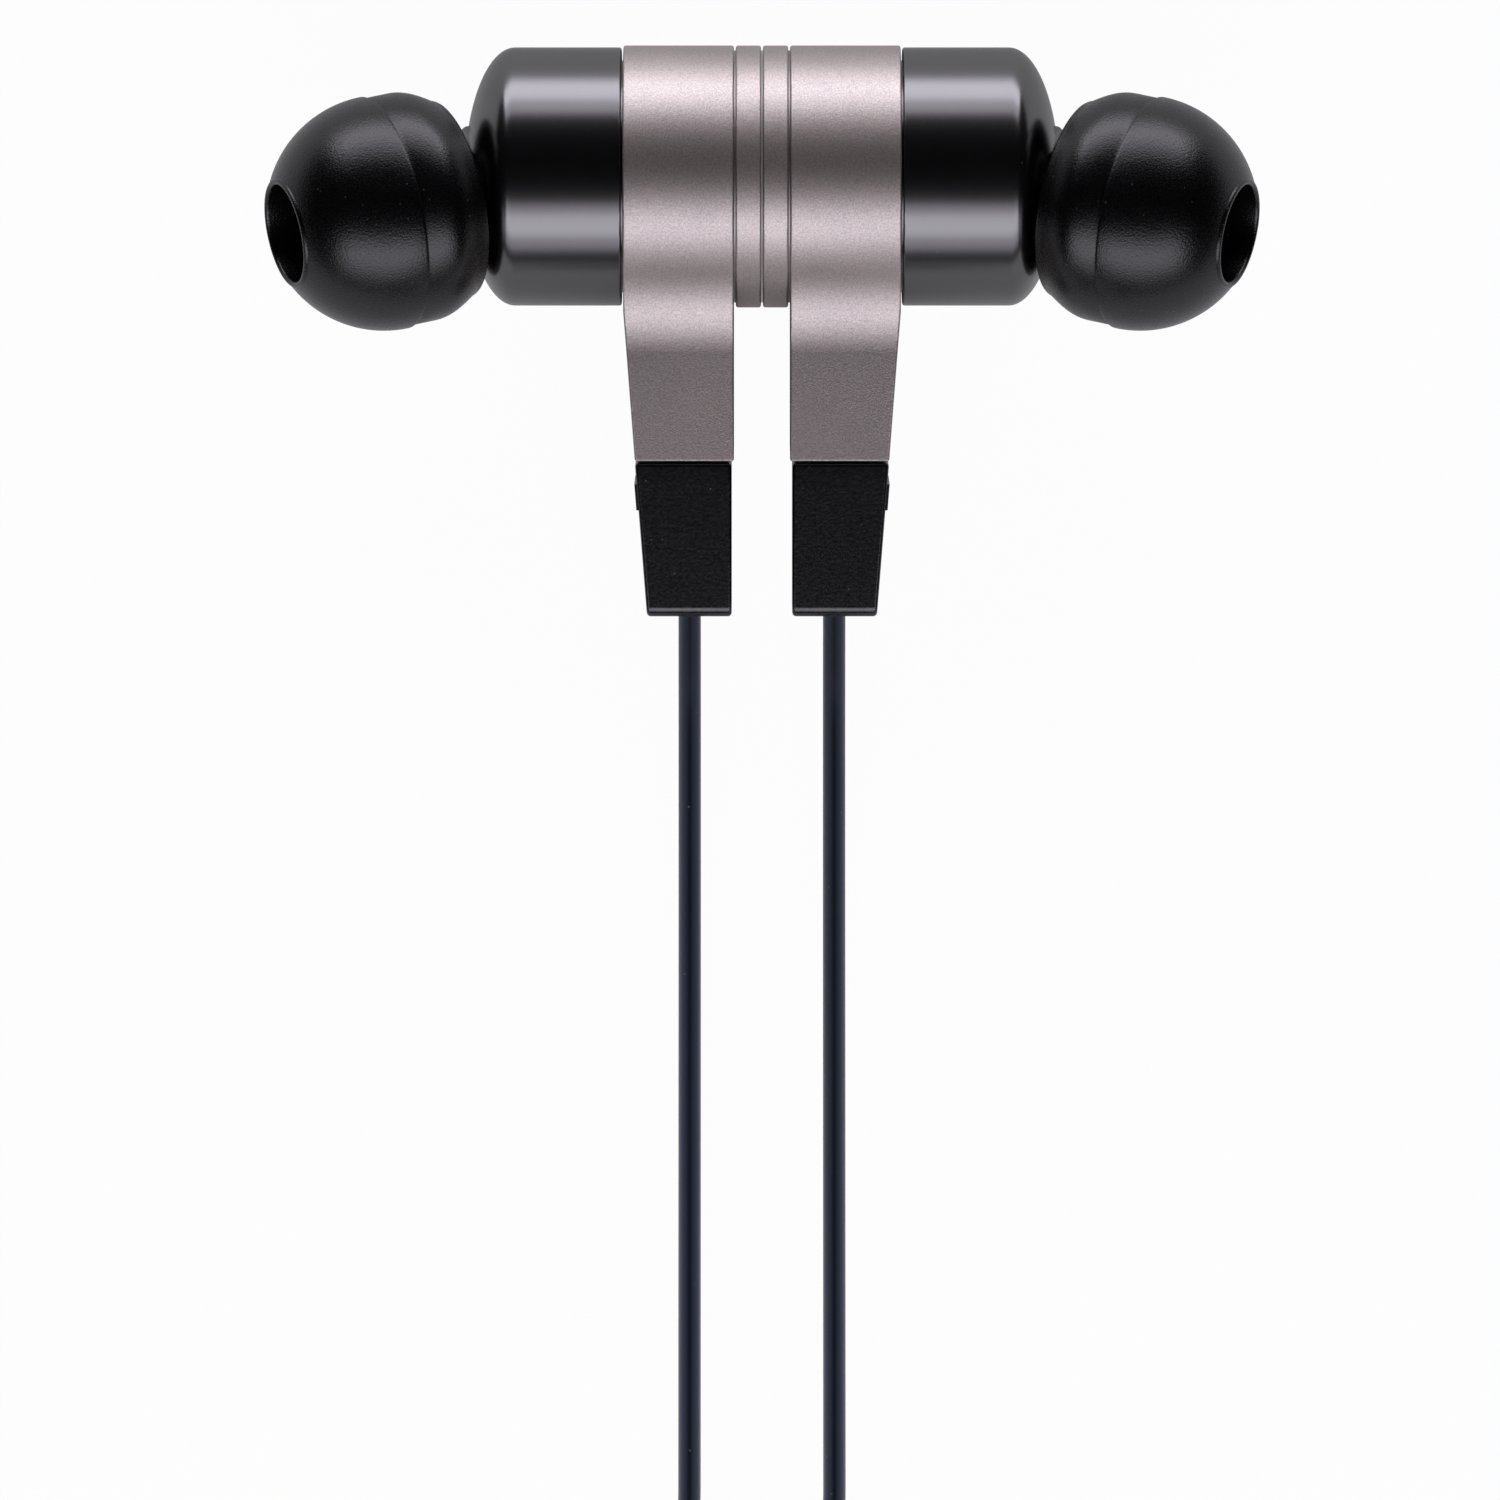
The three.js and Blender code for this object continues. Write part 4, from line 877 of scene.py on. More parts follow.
def turned(profile, closed=True, steps=ROUND_STEPS):
    """A shape turned round the X axis from (along, radius) points. A closed outline joins up."""
    shape = bmesh.new()
    outline = [shape.verts.new((along, radius, 0)) for along, radius in profile]
    ends = outline[1:] + outline[:1] if closed else outline[1:]
    for one, other in zip(outline, ends):
        shape.edges.new((one, other))
    bmesh.ops.spin(
        shape,
        geom=shape.verts[:] + shape.edges[:],
        cent=(0, 0, 0),
        axis=(1, 0, 0),
        angle=math.tau,
        steps=steps,
        use_merge=True,
    )
    bmesh.ops.remove_doubles(shape, verts=shape.verts, dist=SAME_PLACE)
    bmesh.ops.recalc_face_normals(shape, faces=shape.faces)
    return shape


# %% Soften edges and combine shapes
def soften(shape, width, segments=3, angle=40, chosen=lambda edge: True):
    """Rounds the edges that are sharper than an angle."""
    sharp = [e for e in shape.edges if e.is_manifold and e.calc_face_angle() > math.radians(angle)]
    bmesh.ops.bevel(
        shape,
        geom=[e for e in sharp if chosen(e)],
        offset=width,
        segments=segments,
        profile=0.5,
        affect="EDGES",
        material=-1,
        clamp_overlap=True,
    )


def combine(shape, tool, operation):
    """Joins or cuts a shape with another, and returns the result."""
    parts = []
    for part in (shape, tool):
        mesh = bpy.data.meshes.new("part")
        part.to_mesh(mesh)
        part.free()
        parts.append(bpy.data.objects.new("part", mesh))
        bpy.context.collection.objects.link(parts[-1])
    boolean = parts[0].modifiers.new("combine", "BOOLEAN")
    boolean.operation = operation
    boolean.object = parts[1]
    boolean.solver = "MANIFOLD"
    result = bmesh.new()
    result.from_object(parts[0], bpy.context.evaluated_depsgraph_get())
    for part in parts:
        bpy.data.objects.remove(part)
    return result


# %% [markdown]
# Two short helpers cut a shape with a plane and push some of its faces out. The last three make an object
# of a shape: placed, smooth except where the surface really turns, and standing for a piece of the frame.
# Left and right pieces are mirror images, so each pair is built by the same function.

# %% Cut and push
def cut(shape, point, direction, clear=False):
    """Cuts a shape with a plane. clear drops what the direction points at."""
    bmesh.ops.bisect_plane(
        shape,
        geom=shape.verts[:] + shape.edges[:] + shape.faces[:],
        plane_co=point,
        plane_no=direction,
        clear_outer=clear,
    )


def push(shape, faces, step):
    """Pushes faces out as one block, by a step."""
    pushed = bmesh.ops.extrude_face_region(shape, geom=faces)["geom"]
    moved = [item for item in pushed if isinstance(item, bmesh.types.BMVert)]
    bmesh.ops.translate(shape, vec=step, verts=moved)


# %% Place a piece
SIDES = {"left": True, "right": False}
slots = {part["node"]: part["material_slot"] for part in frame["record"]["subparts"]}


def new_piece(name, shape, place, mirrored=False, crease=30):
    """A finished object from a shape in millimetres, with its place in its mesh."""
    if mirrored:
        bmesh.ops.scale(shape, vec=(-1, 1, 1), verts=shape.verts)
        bmesh.ops.reverse_faces(shape, faces=shape.faces)
    bmesh.ops.transform(shape, matrix=place, verts=shape.verts)
    mesh = bpy.data.meshes.new(name)
    shape.to_mesh(mesh)
    shape.free()
    mesh.shade_smooth()
    mesh.set_sharp_from_angle(angle=math.radians(crease))
    piece = bpy.data.objects.new(name, mesh)
    bpy.context.collection.objects.link(piece)
    flats = piece.modifiers.new("flats", "WEIGHTED_NORMAL")
    flats.keep_sharp = True
    return piece


def stand_for(piece, node):
    """The piece hides a plain piece of the frame, rides on its body and takes its finish."""
    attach(piece, frame["nodes"][node]["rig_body"])
    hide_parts(node)
    piece.data.materials.append(finishes[slots[node]])
    print(piece.name, "stands for", node, "with", len(piece.data.polygons), "faces")


def make_pair(name, node, build, crease=30):
    """The left and the right piece of a kind. build gives the right one's shape."""
    for side, mirrored in SIDES.items():
        piece = new_piece(f"{side}_{name}", build(), earpiece_place, mirrored, crease)
        stand_for(piece, f"{side}_{node}")


# %% [markdown]
# ## End caps
#
# Each cap is a turned cup. A low land on its face meets its twin's, a shoulder behind the rim closes the
# seam, and a spigot fits into the housing. The magnet sits inside. Turning the outline gives the right
# shape at once, so only the two outer edges are softened afterwards.

# %% Turn the end caps
HOUSING_RADIUS = 7.0
CAP_FROM, CAP_TO = 0.05, 1.40
LAND_FROM, NECK_TO = 0.01, 1.49
LAND_RADIUS = 6.74
SPIGOT_RADIUS = 6.2
SPIGOT_TO = 2.40
MAGNET_BORE = 4.6
CAP_FACE_TO = 0.65
TURNED_EDGE = 0.12


def near_rim(edge, radius):
    """Whether both ends of an edge lie at a radius from the X axis."""
    return all(abs(math.hypot(v.co.y, v.co.z) - radius) < 10 * SAME_PLACE for v in edge.verts)


def end_cap():
    """An open cup: the outline runs from the axis out, round the rim and back to the axis."""
    outline = [(LAND_FROM, 0), (LAND_FROM, LAND_RADIUS), (CAP_FROM, LAND_RADIUS), (CAP_FROM, HOUSING_RADIUS)]
    outline += [(CAP_TO, HOUSING_RADIUS), (CAP_TO, LAND_RADIUS), (NECK_TO, LAND_RADIUS)]
    outline += [(NECK_TO, SPIGOT_RADIUS), (SPIGOT_TO, SPIGOT_RADIUS), (SPIGOT_TO, MAGNET_BORE)]
    outline += [(CAP_FACE_TO, MAGNET_BORE), (CAP_FACE_TO, 0)]
    shape = turned(outline, closed=False)
    soften(shape, TURNED_EDGE, chosen=lambda edge: near_rim(edge, HOUSING_RADIUS))
    return shape


make_pair("cap_disc", "end_cap", end_cap)

# %% [markdown]
# ## Rear housings
#
# The band and the stem are one machined piece. Seen along the clasp axis its outline is a circle that
# flows through two fillets into straight flanks. A vertex spun about the clasp axis draws the circle,
# and spun back about a fillet's centre it draws the fillet, so every arc is true. The face is pushed out
# along the axis, a slanted cut tapers the stem's outer side, and the bore and the channel are cut last.

# %% Draw arcs, lines and blocks
def arc_to(shape, vertex, centre, angle, steps):
    """Draws an arc from a vertex about an axis parallel to X, and returns its last vertex."""
    drawn = bmesh.ops.spin(
        shape, geom=[vertex], cent=centre, axis=(1, 0, 0), angle=angle, steps=steps, use_merge=False
    )
    return [item for item in drawn["geom_last"] if isinstance(item, bmesh.types.BMVert)][0]


def line_to(shape, vertex, step):
    """Draws a straight edge from a vertex, and returns its end."""
    new = bmesh.ops.extrude_vert_indiv(shape, verts=[vertex])["verts"][0]
    bmesh.ops.translate(shape, vec=step, verts=[new])
    return new


def block(x_range, y_range, z_range):
    """A plain box between two values on each axis."""
    shape = bmesh.new()
    bmesh.ops.create_cube(shape, size=1)
    spans = (x_range, y_range, z_range)
    bmesh.ops.scale(shape, vec=[high - low for low, high in spans], verts=shape.verts)
    bmesh.ops.translate(shape, vec=[(high + low) / 2 for low, high in spans], verts=shape.verts)
    return shape


def rod(radius, from_x, to_x, steps=ROUND_STEPS):
    """A plain round bar along X, to cut with."""
    return turned([(from_x, 0), (from_x, radius), (to_x, radius), (to_x, 0)], closed=False, steps=steps)


# %% Machine the rear housings
REAR_FROM, REAR_TO = 1.5, 7.4
REAR_BORE = 6.3
STEM_HALF_DEPTH = 3.3
STEM_FILLET = 6.4
STEM_END = -15.03
STEM_END_X = 6.79
TAPER_START = -7.0
STEM_CORNER = 0.3
CHANNEL = ((2.58, 5.38), (-16.0, -5.0), (-1.6, 1.6))
CIRCLE_STEPS, FILLET_STEPS = 56, 20
fillet_z = STEM_HALF_DEPTH + STEM_FILLET
fillet_y = -math.sqrt((HOUSING_RADIUS + STEM_FILLET) ** 2 - fillet_z**2)


def level(edge):
    """Whether an edge runs from the front of the stem to its back."""
    one, other = (vertex.co for vertex in edge.verts)
    return abs((one - other).z) > STEM_HALF_DEPTH


def below(edge, height):
    """Whether an edge lies wholly below a height."""
    return all(vertex.co.y < height for vertex in edge.verts)


def rear_housing():
    """Half an outline is drawn, mirrored, filled, pushed out, tapered and bored."""
    shape = bmesh.new()
    top = shape.verts.new((REAR_FROM, HOUSING_RADIUS, 0))
    meeting = math.atan2(fillet_z, fillet_y)
    end_of_circle = arc_to(shape, top, (0, 0, 0), meeting, CIRCLE_STEPS)
    back_to_flank = math.radians(90) - meeting
    end_of_fillet = arc_to(shape, end_of_circle, (0, fillet_y, fillet_z), back_to_flank, FILLET_STEPS)
    corner = line_to(shape, end_of_fillet, (0, STEM_END - fillet_y, 0))
    line_to(shape, corner, (0, 0, -STEM_HALF_DEPTH))
    bmesh.ops.mirror(shape, geom=shape.verts[:] + shape.edges[:], axis="Z", merge_dist=SAME_PLACE)
    bmesh.ops.remove_doubles(shape, verts=shape.verts, dist=SAME_PLACE)
    face = bmesh.ops.contextual_create(shape, geom=shape.edges)["faces"]
    push(shape, face, (REAR_TO - REAR_FROM, 0, 0))
    bmesh.ops.recalc_face_normals(shape, faces=shape.faces)
    taper = Vector((TAPER_START - STEM_END, STEM_END_X - REAR_TO, 0))
    cut(shape, (REAR_TO, TAPER_START, 0), taper, clear=True)
    bmesh.ops.holes_fill(shape, edges=[edge for edge in shape.edges if edge.is_boundary])
    bmesh.ops.recalc_face_normals(shape, faces=shape.faces)
    soften(shape, STEM_CORNER, 2, chosen=lambda edge: below(edge, STEM_END + 0.1) and level(edge))
    soften(shape, TURNED_EDGE, 3)
    shape = combine(shape, rod(REAR_BORE, REAR_FROM - 1, REAR_TO + 1), "DIFFERENCE")
    return combine(shape, block(*CHANNEL), "DIFFERENCE")


make_pair("band_and_stem", "rear_housing", rear_housing)

# %% [markdown]
# ## Front housings
#
# The black front shell is a short drum that closes in an elliptical shoulder. The nozzle leaves it at an
# angle, down and towards the viewer, to follow the ear canal. Both are turned pieces about their own
# axes. They are joined with a Boolean, with a flare at the nozzle's root that hides the join, and then the
# sound bore is cut right through.

# %% Aim the nozzle
NOZZLE_FROM = 11.07
tip_joint = next(joint for joint in frame["joints"] if joint["name"] == "right_tip_pull")
nozzle_way = lean_turn.inverted() @ Vector(tip_joint["axis"])
nozzle_turn = Vector((1, 0, 0)).rotation_difference(nozzle_way).to_matrix().to_4x4()
nozzle_in_earpiece = Matrix.Translation((NOZZLE_FROM, 0, 0)) @ nozzle_turn
print("nozzle direction", [round(part, 3) for part in nozzle_way])


def arc(centre, reach, height, start, end, steps):
    """(along, radius) points on an ellipse about a point of the axis. Angles are in degrees."""
    angles = [math.radians(start + (end - start) * step / steps) for step in range(steps + 1)]
    return [(centre + reach * math.sin(angle), height * math.cos(angle)) for angle in angles]


# %% Sizes of the front housings
FRONT_RADIUS = 6.9
FRONT_FROM = 7.5
FRONT_SPIGOT_FROM = 6.4
SHOULDER_FROM, SHOULDER_DEPTH = 13.2, 2.7
FRONT_BORE = 5.75
LEDGE_AT = 8.7
CAVITY_RADIUS = 5.2
NOSE_WALL = 0.8
NOZZLE_RADIUS = 2.2
NOZZLE_ROOT = 3.6
ROOT_FROM, ROOT_TO = 4.3, 6.5
LIP_RADIUS = 2.5
LIP_FROM, LIP_TO = 10.2, 11.0
SOUND_BORE = 1.45
MESH_SEAT_AT, MESH_SEAT = 10.6, 1.7
FLARE_STEPS = 10
LIP_SLOPE = 0.3
CAVITY_OVERLAP = 0.05


# %% Turn the nozzle and its bore
def nozzle_barrel():
    """The nozzle's outside: a flare at its root, a plain length and a lip that holds the tip."""
    outline = [(ROOT_FROM, 0)]
    for step in range(FLARE_STEPS + 1):
        turn = math.radians(90) * step / FLARE_STEPS
        along = ROOT_TO - (ROOT_TO - ROOT_FROM) * math.cos(turn)
        outline.append((along, NOZZLE_ROOT - (NOZZLE_ROOT - NOZZLE_RADIUS) * math.sin(turn)))
    outline += [(LIP_FROM - LIP_SLOPE, NOZZLE_RADIUS), (LIP_FROM, LIP_RADIUS)]
    outline += [(LIP_TO, LIP_RADIUS), (LIP_TO, 0)]
    barrel = turned(outline, closed=False, steps=NOZZLE_STEPS)
    soften(barrel, TURNED_EDGE, chosen=lambda edge: min(v.co.x for v in edge.verts) > LIP_TO - 0.1)
    bmesh.ops.transform(barrel, matrix=nozzle_in_earpiece, verts=barrel.verts)
    return barrel


def sound_bore():
    """The hole through the nozzle, wider at its end, where the mesh sits."""
    outline = [(ROOT_FROM / 2, 0), (ROOT_FROM / 2, SOUND_BORE), (MESH_SEAT_AT, SOUND_BORE)]
    outline += [(MESH_SEAT_AT, MESH_SEAT), (LIP_TO + 1, MESH_SEAT), (LIP_TO + 1, 0)]
    bore = turned(outline, closed=False, steps=NARROW_STEPS)
    bmesh.ops.transform(bore, matrix=nozzle_in_earpiece, verts=bore.verts)
    return bore


# %% Turn the front housings
def at_start(edge):
    """Whether an edge lies where the shell meets the metal band."""
    return all(vertex.co.x < FRONT_FROM + 0.01 for vertex in edge.verts)


def front_housing():
    """The hollow shell, open at the back, with the nozzle joined on and bored."""
    outside = [(FRONT_SPIGOT_FROM, SPIGOT_RADIUS), (FRONT_FROM, SPIGOT_RADIUS), (FRONT_FROM, FRONT_RADIUS)]
    outside += arc(SHOULDER_FROM, SHOULDER_DEPTH, FRONT_RADIUS, 0, 90, 24)
    inside = arc(SHOULDER_FROM, SHOULDER_DEPTH - NOSE_WALL, CAVITY_RADIUS, 90, 0, 12)
    inside += [(LEDGE_AT, CAVITY_RADIUS), (LEDGE_AT, FRONT_BORE), (FRONT_SPIGOT_FROM, FRONT_BORE)]
    inside += [(FRONT_SPIGOT_FROM, SPIGOT_RADIUS)]
    shell = turned(outside + inside, closed=False)
    soften(shell, TURNED_EDGE, chosen=lambda edge: near_rim(edge, FRONT_RADIUS) and at_start(edge))
    wide = CAVITY_RADIUS - CAVITY_OVERLAP
    deep = SHOULDER_DEPTH - NOSE_WALL - CAVITY_OVERLAP
    hollow = [(LEDGE_AT - 1, 0), (LEDGE_AT - 1, wide)] + arc(SHOULDER_FROM, deep, wide, 0, 90, 12)
    cavity = turned(hollow, closed=False, steps=NARROW_STEPS)
    shape = combine(shell, combine(nozzle_barrel(), cavity, "DIFFERENCE"), "UNION")
    return combine(shape, sound_bore(), "DIFFERENCE")


make_pair("black_shell", "front_housing", front_housing)

# %% [markdown]
# ## Ear tips and nozzle meshes
#
# A tip is a silicone mushroom. A thin dome folds back into a skirt, a core grips the nozzle, and the rim
# of the sound opening is rounded. The mould's two halves leave a fine groove and a small bead where the
# dome meets the skirt. One closed outline turned round the nozzle's axis holds all of that, and the seam
# is real relief, so it catches the light from any side.

# %% Sizes of the ear tips
TIP_RADIUS = 6.28
SKIRT_RADIUS = 6.17
SEAM_AT = 9.9
SHOULDER_AT = 8.3
REAR_RIM_AT, REAR_RIM_RADIUS = 5.95, 5.35
TIP_WALL = 0.6
TIP_BORE = 2.62
CORE_RADIUS = 3.3
CORE_FROM = 7.0
OPENING_LIP = 0.35
BEAD = 0.07
GROOVE_STARTS, GROOVE_FLOOR, GROOVE_ENDS = (0.32, 0), (0.18, 0.11), (0.08, 0.09)
BORE_NARROWS = 1.2
CORE_LIP = 0.2
SKIRT_STEPS = 14


# %% Turn the ear tips
def half_round(along, radius, size, start, end, steps=8):
    """Points on a small circle in the outline. 0 degrees points along the axis, 90 points outwards."""
    angles = [math.radians(start + (end - start) * step / steps) for step in range(steps + 1)]
    return [(along + size * math.cos(angle), radius + size * math.sin(angle)) for angle in angles]


def ear_tip():
    """The outline runs forwards along the outside, in at the opening and back along the inside."""
    rim = TIP_WALL / 2
    swell = SKIRT_RADIUS - REAR_RIM_RADIUS
    run = SHOULDER_AT - REAR_RIM_AT - rim
    outside = []
    for step in range(1, SKIRT_STEPS + 1):
        share = step / SKIRT_STEPS
        radius = REAR_RIM_RADIUS + swell * math.sin(math.radians(90) * share)
        outside.append((REAR_RIM_AT + rim + run * share, radius))
    inside = [(along, radius - TIP_WALL) for along, radius in reversed(outside)]
    corners = (GROOVE_STARTS, GROOVE_FLOOR, GROOVE_ENDS)
    groove = [(SEAM_AT - back, SKIRT_RADIUS - depth) for back, depth in corners]
    lip_middle = TIP_BORE + OPENING_LIP / 2
    dome_end = math.degrees(math.acos((TIP_BORE + OPENING_LIP) / TIP_RADIUS))
    front = SEAM_AT + TIP_RADIUS * math.sin(math.radians(dome_end))
    hollow = TIP_RADIUS - TIP_WALL
    hollow_end = math.degrees(math.acos(CORE_RADIUS / hollow))
    profile = half_round(REAR_RIM_AT + rim, REAR_RIM_RADIUS - rim, rim, 270, 90)
    profile += outside + groove + half_round(SEAM_AT, TIP_RADIUS - BEAD, BEAD, 180, 100, 4)
    profile += arc(SEAM_AT, TIP_RADIUS, TIP_RADIUS, 1, dome_end, 40)
    profile += half_round(front, lip_middle, OPENING_LIP / 2, 70, -90)
    core_start = CORE_FROM + CORE_LIP
    profile += [(front - BORE_NARROWS, TIP_BORE - 0.02), (LIP_TO + 0.5, TIP_BORE), (core_start, TIP_BORE)]
    profile += half_round(core_start, TIP_BORE + CORE_LIP, CORE_LIP, 270, 180, 4)
    profile += half_round(core_start, CORE_RADIUS - CORE_LIP, CORE_LIP, 180, 90, 4)
    profile += arc(SEAM_AT, hollow, hollow, hollow_end, 0, 24) + inside
    shape = turned(profile, steps=TIP_STEPS)
    bmesh.ops.transform(shape, matrix=nozzle_in_earpiece, verts=shape.verts)
    return shape


make_pair("silicone_tip", "ear_tip", ear_tip, crease=50)

# %% [markdown]
# A fine wire mesh keeps wax out of the bore. It is pressed slightly domed, so it is turned like a thin
# lens, and the weave of its finish gives it its wires.

# %% Turn the nozzle meshes
MESH_RADIUS = 1.6
MESH_FROM, MESH_TO = 10.7, 10.85
MESH_CROWN = 0.1
MESH_INSET = 0.02


def wax_mesh():
    front = arc(MESH_TO - MESH_CROWN, MESH_CROWN, MESH_RADIUS, 0, 90, 12)
    back = arc(MESH_FROM - MESH_CROWN + MESH_INSET, MESH_CROWN, MESH_RADIUS - MESH_INSET, 90, 0, 12)
    shape = turned(front + back + front[:1], closed=False, steps=NARROW_STEPS)
    bmesh.ops.transform(shape, matrix=nozzle_in_earpiece, verts=shape.verts)
    return shape


make_pair("wax_mesh", "nozzle_mesh", wax_mesh)

# %% [markdown]
# ## Cord boots
#
# Each boot is moulded rubber that takes the strain off the cord. It starts as a cube and narrows towards
# the cord, its lower corners are round, and a plain raised pad marks its outer side. A subdivided cage
# would also be round, but it would lose the flat flanks, so the edges are bevelled by size instead.

# %% Mould the cord boots
BOOT_TOP, BOOT_END = -15.13, -23.43
BOOT_INNER_X = 1.62
BOOT_TOP_X, BOOT_END_X = 6.79, 6.15
BOOT_TOP_DEPTH, BOOT_END_DEPTH = 3.2, 2.7
BOOT_ROUND = 0.55
BOOT_FLANK = 0.2
PAD_FROM, PAD_TO = -16.23, -17.73
PAD_PROUD = 0.12
PAD_MARGIN = 0.05
TONGUE = ((2.68, 5.28), (-15.9, -12.53), (-1.5, 1.5))
BOOT_BORE = 0.75


def cord_boot():
    """A narrowing block with a round foot, a raised pad, a tongue into the stem and a bore."""
    shape = block((BOOT_INNER_X, BOOT_TOP_X), (BOOT_END, BOOT_TOP), (-BOOT_TOP_DEPTH, BOOT_TOP_DEPTH))
    foot = [vertex for vertex in shape.verts if vertex.co.y < BOOT_TOP - 1]
    bmesh.ops.scale(shape, vec=(1, 1, BOOT_END_DEPTH / BOOT_TOP_DEPTH), verts=foot)
    outer_foot = [vertex for vertex in foot if vertex.co.x > LEAD_X]
    bmesh.ops.translate(shape, vec=(BOOT_END_X - BOOT_TOP_X, 0, 0), verts=outer_foot)
    middle_y = (BOOT_TOP + BOOT_END) / 2
    soften(shape, BOOT_ROUND, 6, chosen=lambda edge: below(edge, middle_y) and not level(edge))
    soften(shape, BOOT_FLANK, 4)
    for height in (PAD_FROM, PAD_TO):
        cut(shape, (0, height, 0), (0, 1, 0))
    outer = [face for face in shape.faces if face.normal.x > 0.9]
    pad = [face for face in outer if PAD_TO < face.calc_center_median().y < PAD_FROM]
    bmesh.ops.inset_region(shape, faces=pad, thickness=PAD_MARGIN, depth=0, use_even_offset=True)
    push(shape, pad, (PAD_PROUD, 0, 0))
    bmesh.ops.delete(shape, geom=pad, context="FACES")
    shape = combine(shape, block(*TONGUE), "UNION")
    bore = rod(BOOT_BORE, BOOT_END - 1, TONGUE[1][1] + 1, 32)
    upright = Matrix.Translation((LEAD_X, 0, 0)) @ Matrix.Rotation(math.radians(90), 4, "Z")
    bmesh.ops.transform(bore, matrix=upright, verts=bore.verts)
    return combine(shape, bore, "DIFFERENCE")


make_pair("rubber_boot", "boot", cord_boot)

# %% [markdown]
# ## Split, ties and plug
#
# The split is a small moulded block where the two leads go in at one end and the trunk leaves at the
# other. Two grooves round each end let it flex and give the fingers a hold. Each groove is three plane
# cuts close together, of which the middle one is drawn in.

# %% Mould the split
SPLIT_CORNER = 1.1
SPLIT_EDGE = 0.45
SPLIT_GROOVES = (-2.6, -1.9, 1.9, 2.6)
GROOVE_WIDTH = 0.3
GROOVE_DEPTH = 0.16


def millimetre_spans(node):
    """The low and high values of a node's box on each axis, in millimetres."""
    low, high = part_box(node)
    return [(low[i] / MM, high[i] / MM) for i in range(3)]


def split_block():
    """A rounded block with grooves across it."""
    spans = millimetre_spans("y_split")
    shape = block(*spans)
    posts = [edge for edge in shape.edges if abs((edge.verts[0].co - edge.verts[1].co).z) > 1]
    rounding = {"profile": 0.5, "affect": "EDGES", "material": -1, "clamp_overlap": True}
    bmesh.ops.bevel(shape, geom=posts, offset=SPLIT_CORNER, segments=8, **rounding)
    soften(shape, SPLIT_EDGE, 5)
    centre = [(low + high) / 2 for low, high in spans]
    for groove in SPLIT_GROOVES:
        for along in (groove - GROOVE_WIDTH / 2, groove, groove + GROOVE_WIDTH / 2):
            cut(shape, (centre[0] + along, 0, 0), (1, 0, 0))
        ring = [vertex for vertex in shape.verts if abs(vertex.co.x - centre[0] - groove) < SAME_PLACE]
        for vertex in ring:
            outwards = vertex.co - Vector((vertex.co.x, centre[1], centre[2]))
            vertex.co -= outwards.normalized() * GROOVE_DEPTH
    return shape


piece = new_piece("split_block", split_block(), Matrix.Scale(MM, 4))
stand_for(piece, "y_split")

# %% [markdown]
# The ties are strips of woven strap round the turns. Each starts as a rectangle with rounded corners. An
# inset of the strap's thickness leaves a rim and a middle, the middle is deleted, and the rim is pushed
# out to the strap's width.

# %% Fold the ties
STRAP = 0.4
STRAP_CORNER = 1.0
STRAP_EDGE = 0.08


def coil_tie(node):
    """A strap round the box of a node."""
    (low_x, high_x), (low_y, high_y), (low_z, high_z) = millimetre_spans(node)
    shape = bmesh.new()
    corners = [(low_x, low_z), (high_x, low_z), (high_x, high_z), (low_x, high_z)]
    shape.faces.new([shape.verts.new((x, low_y, z)) for x, z in corners])
    rounding = {"profile": 0.5, "affect": "VERTICES", "material": -1}
    bmesh.ops.bevel(shape, geom=shape.verts[:], offset=STRAP_CORNER, segments=8, **rounding)
    bmesh.ops.inset_individual(shape, faces=shape.faces[:], thickness=STRAP, use_even_offset=True)
    largest = max(shape.faces, key=lambda face: face.calc_area())
    bmesh.ops.delete(shape, geom=[largest], context="FACES_ONLY")
    push(shape, shape.faces[:], (0, high_y - low_y, 0))
    bmesh.ops.recalc_face_normals(shape, faces=shape.faces)
    soften(shape, STRAP_EDGE, 2)
    return shape


for side in SIDES:
    piece = new_piece(f"{side}_strap_tie", coil_tie(f"{side}_coil_tie"), Matrix.Scale(MM, 4))
    stand_for(piece, f"{side}_coil_tie")

# %% [markdown]
# The plug is a standard 3.5 mm one with three contacts, all turned parts. Its outlines are drawn along X
# from the start of the strain relief, then stood along Y where the frame's plug lies. The relief's ribs
# come from a formula, because a real one is cut at an even pitch. The tip contact has a waist, where the
# socket's spring catches it, and a round nose. Both are given as shares of its length.

# %% Sizes of the plug
relief_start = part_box("plug_relief")[0]
plug_axis = middle("plug_relief")
plug_place = (
    Matrix.Translation((plug_axis.x, relief_start.y, plug_axis.z))
    @ Matrix.Rotation(math.radians(90), 4, "Z")
    @ Matrix.Scale(MM, 4)
)
RELIEF_LENGTH = 8.0
RELIEF_FROM_RADIUS, RELIEF_TO_RADIUS = 0.95, 1.9
RELIEF_RIBS = 6
RIB_STEPS = 8
RIB_DEPTH = 0.22
CORD_PLAY = 0.02
SHELL_FROM, SHELL_TO, SHELL_RADIUS = 8.1, 20.6, 2.6
SHELL_CHAMFER = 0.25
GRIP_RINGS = 5
GRIP_FROM, GRIP_PITCH = 2.2, 0.9
GRIP_GROOVE = ((0, 0), (0.12, 0.12), (0.28, 0.12), (0.4, 0))
GRIP_SHOULDER = 1.6
SHELL_PLAY = 0.1
PIN_RADIUS = 1.75
INSULATOR_RADIUS = 1.73
ROD_RADIUS = 0.45
ROD_BORE = 0.55
SLEEVE_FROM, SLEEVE_TO = 16.6, 26.9
REAR_INSULATOR = (27.0, 27.6)
RING_CONTACT = (27.7, 29.9)
FRONT_INSULATOR = (30.0, 30.6)
TIP_CONTACT = (30.7, 34.6)
